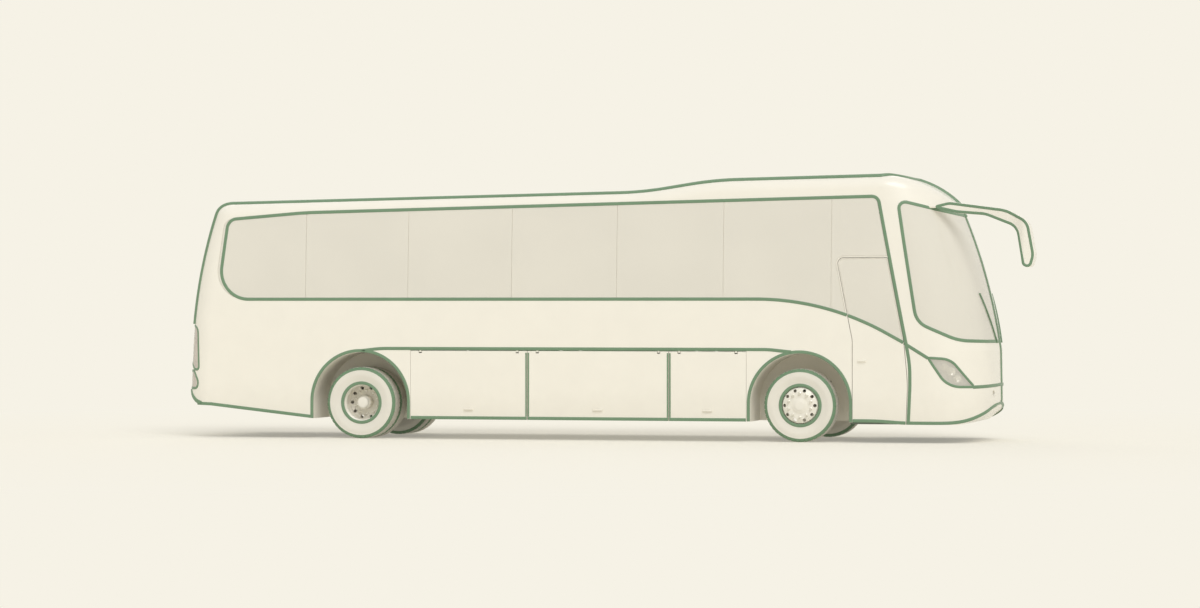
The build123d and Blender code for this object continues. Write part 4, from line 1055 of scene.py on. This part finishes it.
def pad(name, node, centre, size, lift, material, look=X, across=Y, up=Z):
    """A rounded plate on a node, seen along a look. Size is width, height and corner radius."""
    centre = Vector(centre)
    mesh = bmesh.new()
    rings = []
    levels = [(1.0, PAD_FOOT)] + [(scale, lift * share) for scale, share in PAD_LEVELS]
    for scale, height in levels:
        ring = []
        for a, b in rounded_rect(*size):
            place = centre + across * a * scale + up * b * scale
            point, normal = strike_node(node, place - look * PROBE, look)
            ring.append(mesh.verts.new(point + normal * height))
        rings.append(ring)
    point, normal = strike_node(node, centre - look * PROBE, look)
    rings.append([mesh.verts.new(point + normal * lift)])
    join_rings(mesh, rings)
    add_object(name, mesh, material, "body")


pad("kerb_mirror_glass", "mirrors", (nose + 0.25, -1.222, 2.76), (0.165, 0.40, 0.05), 0.004, mirror_glass)
pad("driver_mirror_glass", "mirrors", (nose - 0.75, 1.25, 2.63), (0.125, 0.37, 0.04), 0.004, mirror_glass)
pad("rear_plate", "rear_bumper", (behind_x, 0, PLATE_Z), (0.52, 0.11, 0.012), 0.006, plate_face)
for place, x in (("rear", -2.6), ("front", 1.6)):
    pad(f"roof_hatch_{place}", "roof", (x, 0, 3.9), (0.78, 0.62, 0.08), 0.014, paint, -Z, X, Y)
for side_name, side in SIDES.items():
    place = (behind_x, side * 0.80, 0.60)
    pad(f"rear_{side_name}_reflector", "rear_bumper", place, (0.12, 0.045, 0.012), 0.005, tail_red)

# The rear plate's surround
hits = []
for a, b in rounded_rect(0.548, 0.138, 0.02):
    place = Vector((behind_x, a, PLATE_Z + b))
    hits.append(strike_node("rear_bumper", place - X * PROBE, X))
strip("rear_plate_surround", even(hits, 0.02, closed=True), True, width=0.016, proud=0.007)

# The engine lid's louvres and handle
LOUVRE_COUNT = 9
LOUVRE_PITCH = 0.055
LOWEST_LOUVRE_Z = 0.80


def lid_hits(z, reach, count):
    """Hits across the engine lid at one height, as far as the reach to both sides."""
    starts = [Vector((tail - ASTERN, y, z)) for y in spaced(-reach, reach, count)]
    return [strike(start, X, ["engine_lid"]) for start in starts]


for row in range(LOUVRE_COUNT):
    hits = lid_hits(LOWEST_LOUVRE_Z + row * LOUVRE_PITCH, 0.56, 30)
    strip(f"engine_lid_louvre_{row}", hits, width=0.030, proud=0.011, section=BEAD, material=plastic)
hits = lid_hits(1.42, 0.12, 10)
strip("engine_lid_handle", hits, width=0.026, proud=0.016, section=BEAD, material=paint)

# Door handles
GRIP_Z = 0.15  # height of a luggage door's handle above the sill
entrance_grip = Vector((front_axle_x + ARCH_RADIUS + 0.18, -OUTSIDE, 1.16))


def add_handle(mesh, hit, along, up, width):
    """A plate, and a bar that stands off it on two posts."""
    point, out = hit
    half = width / 2
    turn = Matrix((along, up, out)).transposed().to_4x4()
    turn.translation = point
    for low, high, radius in (
        ((-half, -0.022, -0.003), (half, 0.022, 0.004), 0.004),
        ((-half + 0.012, -0.008, 0.002), (-half + 0.026, 0.008, 0.024), 0.004),
        ((half - 0.026, -0.008, 0.002), (half - 0.012, 0.008, 0.024), 0.004),
        ((-half + 0.008, -0.010, 0.018), (half - 0.008, 0.010, 0.028), 0.005),
    ):
        soft_box(mesh, low, high, radius, turn)


for side_name, side in SIDES.items():
    for bay in BAYS:
        door = f"{side_name}_{bay}_luggage_door"
        low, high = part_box(door)
        hit = strike(Vector(((low.x + high.x) / 2, side * OUTSIDE, sill_z + GRIP_Z)), Y * -side, [door])
        mesh = bmesh.new()
        add_handle(mesh, hit[1:], X * -side, Z, 0.15)
        add_object(f"{door}_handle", mesh, paint, door)
hit = strike(entrance_grip, Y, ["door"])
mesh = bmesh.new()
add_handle(mesh, hit[1:], X, Z, 0.13)
add_object("entrance_door_handle", mesh, paint, "door")

# Lamps
BOWL = (  # depth, share of the bowl's radius
    (-0.008, 1), (-0.008, 0.93), (-0.018, 0.78), (-0.028, 0.52),
    (-0.034, 0.2), (-0.036, 0.2), (-0.034, 0.56), (-0.020, 0.88),
)
LENS = ((-0.020, 1), (-0.013, 0.8), (-0.009, 0.4), (-0.008, 0))  # depth, share of the lens's radius
LENS_FOOT = (-0.036, 0.30)  # depth, share of the bowl's radius
HEADLAMP_LENS = 0.36
TAIL_LENS = 0.6
# x from the nose, z, radius
HEADLAMPS = ((-0.640, 1.075, 0.050), (-0.535, 1.010, 0.062), (-0.435, 0.905, 0.058))
TAIL_LAMP_HEIGHTS = (1.52, 1.39, 0.85)
TAIL_LAMP_RADIUS = 0.050
LAMP_Y = 1.2  # a ray that aims here, across the bus, finds a headlamp's place;
VIEW_AHEAD = 1.0  # it starts this much further ahead
VIEW_Y = 3.2  # and this far from the middle plane


def add_bowl(mesh, hit, radius, lens):
    point, out = hit
    profile = [(depth, radius * share) for depth, share in BOWL]
    lathe(mesh, profile, point, out, 40, closed=True)
    profile = [(LENS_FOOT[0], radius * LENS_FOOT[1])]
    profile += [(depth, radius * lens * share) for depth, share in LENS]
    lathe(mesh, profile, point, out, 28, material=1)


for side_name, side in SIDES.items():
    mesh = bmesh.new()
    for x, z, radius in HEADLAMPS:
        start = Vector((nose + x + VIEW_AHEAD, side * VIEW_Y, z))
        look = (Vector((nose + x, side * LAMP_Y, z)) - start).normalized()
        add_bowl(mesh, strike_node("headlamps", start, look), radius, HEADLAMP_LENS)
    add_object(f"{side_name}_headlamp_bowls", mesh, [lamp_bowl, bright], "body")
    mesh = bmesh.new()
    for z in TAIL_LAMP_HEIGHTS:
        hit = strike_node("tail_lamps", Vector((tail - ASTERN, side * BEAD_Y, z)), X)
        add_bowl(mesh, hit, TAIL_LAMP_RADIUS, TAIL_LENS)
    add_object(f"{side_name}_tail_lamp_bowls", mesh, [lamp_bowl, tail_red], "body")

# Kerb-side mirror: a moulding inside its outline, in side view: x, z, corner radius
MIRROR_OUTLINE = [
    (nose - 0.600, 3.402, 0.25),
    (nose + 0.230, 3.290, 0.5),
    (nose + 0.560, 3.120, 0.22),
    (nose + 0.649, 2.640, 0.26),
    (nose + 0.590, 2.440, 0.075),
    (nose + 0.470, 2.500, 0.07),
    (nose + 0.375, 3.030, 0.19),
    (nose - 0.080, 3.205, 0.4),
    (nose - 0.500, 3.240, 0.4),
    (nose - 0.900, 3.332, 0.03),
]
MIRROR_INSET = 0.022
MIRROR_JUMP = 0.07  # points further apart than this aren't on one surface
MIRROR_LEAST = 5  # points in a moulding
mirror_root_x = nose - 0.55


def on_mirror(place):
    """The mirror's outer face, or at its root the bodywork that it grows out of."""
    start = Vector((place.x, -OUTSIDE, place.y))
    hit = strike_node("mirrors", start, Y)
    cover = strike(start, Y, ["body"])
    if hit and hit[0].y < 0 and not (cover and cover[1].y < hit[0].y):
        return ("body", *hit)
    return cover if place.x < mirror_root_x else None


def split_jumps(run):
    """The run cut wherever two of its points lie far apart."""
    pieces = [[run[0]]]
    for before, here in zip(run, run[1:]):
        if (here[1] - before[1]).length > MIRROR_JUMP:
            pieces.append([])
        pieces[-1].append(here)
    return [piece for piece in pieces if len(piece) >= MIRROR_LEAST]


mirror_path = inset_path(rounded(MIRROR_OUTLINE, True, 0.02), MIRROR_INSET)
mirror_pieces = []
for run in runs_along(mirror_path + mirror_path[:1], on_mirror)[0]:
    mirror_pieces += split_jumps(run)
for number, piece in enumerate(mirror_pieces):
    strip(f"kerb_mirror_moulding_{number}", piece, width=0.038, proud=0.005)

# Seats. A cushion's grid lines, in shares of half of it, crowd together at the seams.
SEAT_WIDE = [
    -1, -0.97, -0.86, -0.70, -0.62, -0.58, -0.54, -0.30, 0, 0.30, 0.54, 0.58, 0.62, 0.70, 0.86, 0.97, 1,
]
SEAT_LONG = [-1, -0.97, -0.86, -0.60, -0.38, -0.34, -0.30, 0, 0.26, 0.30, 0.34, 0.60, 0.86, 0.97, 1]
SEAT_THICK = [-1, -0.8, -0.3, 0.3, 0.8, 1]
SQUARENESS = 6  # power of a cushion's rounded box
CROWN = 0.020
PINCH = 0.035  # share that its sides pull in
BOLSTER = 0.018  # extra height outside the long seams
SEAM = 0.007  # depth of a sewn channel
SEAM_WIDTH = 0.03  # in shares of half the cushion, as the next three
LONG_SEAM = 0.58
CROSS_SEAMS = (-0.34, 0.30)
CROSS_REACH = 0.6  # how far the cross seams run to the sides
BACK_UP = Vector((-0.255, 0, 0.967))  # up along the backrest
BACK_OUT = Vector((0.967, 0, 0.255))
THICK = 0.105
SHELL_STEPS = (0.0, 0.16, 0.32, 0.48, 0.62)
LEGS = (((0.06, 0.325), (0.10, 0.20), (0.11, 0.012)), ((0.34, 0.325), (0.30, 0.20), (0.29, 0.012)))  # x, z
LEG_RADIUS = 0.018


def add_cushion(mesh, size, origin, along, across, out):
    """A stuffed block, crowned, with sides that pull in between its corners and sewn channels."""
    origin = Vector(origin)

    def channel(distance):
        return SEAM * math.exp(-((distance / SEAM_WIDTH) ** 2))

    def shape(u, v, w):
        spread = (abs(u) ** SQUARENESS + abs(v) ** SQUARENESS + abs(w) ** SQUARENESS) ** (1 / SQUARENESS)
        u, v, w = u / spread, v / spread, w / spread
        x = u * size[0] / 2 * (1 - PINCH * (1 - v * v))
        y = v * size[1] / 2 * (1 - PINCH * (1 - u * u))
        z = w * size[2] / 2
        if w > 0:
            face = max(0.0, 1 - u * u) * max(0.0, 1 - v * v)
            edge = max(0.0, abs(v) - LONG_SEAM) / (1 - LONG_SEAM)
            z += w * (CROWN * face + BOLSTER * edge * (1 - u ** 4))
            for line in (-LONG_SEAM, LONG_SEAM):
                z -= w * channel(v - line) * (1 - u ** 8)
            for line in CROSS_SEAMS:
                if abs(v) < CROSS_REACH:
                    z -= w * channel(u - line)
        return origin + along * x + across * y + out * z

    grid_box(mesh, SEAT_LONG, SEAT_WIDE, SEAT_THICK, shape)


def seat_soft(width, places):
    """A cushion and a backrest at each of the places across the bus."""
    mesh = bmesh.new()
    for y in places:
        add_cushion(mesh, (0.485, width, THICK), (0.222, y, 0.392), X, Y, Z)
        add_cushion(mesh, (0.70, width * 0.98, THICK), (-0.112, y, 0.745), BACK_UP, Y, BACK_OUT)
    return mesh


def seat_hard(width, places, legs):
    """Pans and back shells at the places across the bus, and legs at theirs."""
    mesh = bmesh.new()
    for y in places:
        soft_box(mesh, (-0.02, y - width * 0.46, 0.318), (0.43, y + width * 0.46, 0.345), 0.010)
        shell = [Vector((-0.085, y, 0.41)) + BACK_UP * s for s in SHELL_STEPS]
        for a, b in zip(shell, shell[1:]):
            low = (min(a.x, b.x) - 0.062, y - width * 0.44, a.z)
            high = (max(a.x, b.x) - 0.040, y + width * 0.44, b.z + 0.004)
            soft_box(mesh, low, high, 0.008)
    for y in legs:
        for leg in LEGS:
            tube(mesh, [Vector((x, y, z)) for x, z in leg], LEG_RADIUS)
        soft_box(mesh, (0.02, y - 0.035, 0.001), (0.40, y + 0.035, 0.018), 0.006)
    return mesh


def add_seat(name, cushions, frames, place):
    """The two pieces of a seat or a pair of seats, which stand for the CAD's."""
    for kind, data in (("cushions", cushions), ("frame", frames)):
        piece = new_object(f"{name}_{kind}", data)
        piece.location = place
        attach(piece, "body")
        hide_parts("seats")


ROW_COUNT = 11
ROW_PITCH = 0.8
AISLE = 0.235  # half its width
PAIR = 0.90  # width of a pair of seats
SEAT_SMOOTH = 50
seat_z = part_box("saloon_floor")[1].z + 0.001
first_row_x = tail + 0.9
driver_place = (nose - 1.5, 0.63, 0.951)
pair_cushions = finished("seat_pair", seat_soft(0.435, (-0.225, 0.225)), fabric, SEAT_SMOOTH)
pair_frame = finished("seat_frame", seat_hard(0.435, (-0.225, 0.225), (-0.30, 0.30)), seat_shell)
for row in range(ROW_COUNT):
    for side_name, side in SIDES.items():
        place = (first_row_x + row * ROW_PITCH, side * (AISLE + PAIR / 2), seat_z)
        add_seat(f"seat_{side_name}_{row + 1}", pair_cushions, pair_frame, place)
cushions = finished("driver_seat_cushions", seat_soft(0.48, (0,)), fabric, SEAT_SMOOTH)
frames = finished("driver_seat_frame", seat_hard(0.48, (0,), (-0.16, 0.16)), seat_shell)
add_seat("driver_seat", cushions, frames, driver_place)

# Studio
SKY = 0.60  # strength of the sky's light
SKY_COLOUR = (1, 0.99, 0.965, 1)
FLOOR_REACH = 150
FLOOR_GLOW = 0.30  # share of the floor's colour that doesn't depend on its light, near the object
FADE_START = 8.5  # metres from the middle where the floor starts to fade into the backdrop
FADE_END = 17


def make_floor():
    mesh = bmesh.new()
    bmesh.ops.create_grid(mesh, x_segments=2, y_segments=2, size=FLOOR_REACH)
    data = bpy.data.meshes.new("floor")
    mesh.to_mesh(data)
    mesh.free()
    ground = new_object("floor", data)
    material, tree, shader = new_material("floor", BACKDROP, 1.0)
    shader.inputs["Specular IOR Level"].default_value = 0.0
    glow = add_node(tree, "Emission", (*BACKDROP, 1)).outputs["Emission"]
    distance = add_node(tree, "VectorMath", object_place(tree))
    distance.operation = "LENGTH"
    fade = mapped(tree, distance.outputs["Value"], FLOOR_GLOW, 1.0, FADE_START, FADE_END)
    mixer = add_node(tree, "MixShader", fade, shader.outputs["BSDF"], glow)
    feed(tree, tree.nodes["Material Output"].inputs["Surface"], mixer.outputs["Shader"])
    data.materials.append(material)


def make_world():
    """A pale sky as light; the backdrop's colour to the camera, in gloss and through glass."""
    world = bpy.data.worlds.new("studio")
    bpy.context.scene.world = world
    world.use_nodes = True
    tree = world.node_tree
    sky = tree.nodes["Background"]
    sky.inputs["Color"].default_value = SKY_COLOUR
    sky.inputs["Strength"].default_value = SKY
    seen = add_node(tree, "Background", (*BACKDROP, 1))
    rays = add_node(tree, "LightPath").outputs
    either = rays["Is Camera Ray"]
    for kind in ("Is Glossy Ray", "Is Transmission Ray"):
        both = add_node(tree, "Math", either, rays[kind])
        both.operation = "MAXIMUM"
        either = both.outputs["Value"]
    mixer = add_node(tree, "MixShader", either, sky.outputs["Background"], seen.outputs["Background"])
    feed(tree, tree.nodes["World Output"].inputs["Surface"], mixer.outputs["Shader"])


def soft_sun(name, strength, azimuth, elevation, spread):
    """A distant lamp; azimuth 0 is ahead of the bus, -90 its right side."""
    data = bpy.data.lights.new(name, "SUN")
    data.energy = strength
    data.angle = math.radians(spread)
    lamp = new_object(name, data)
    a = math.radians(azimuth)
    e = math.radians(elevation)
    towards = Vector((math.cos(a) * math.cos(e), math.sin(a) * math.cos(e), math.sin(e)))
    lamp.rotation_euler = towards.to_track_quat("Z", "Y").to_euler()


make_floor()
make_world()
soft_sun("key", strength=1.30, azimuth=-62, elevation=48, spread=35)
soft_sun("fill", strength=0.45, azimuth=120, elevation=40, spread=50)

bpy.context.scene.view_settings.view_transform = "Standard"
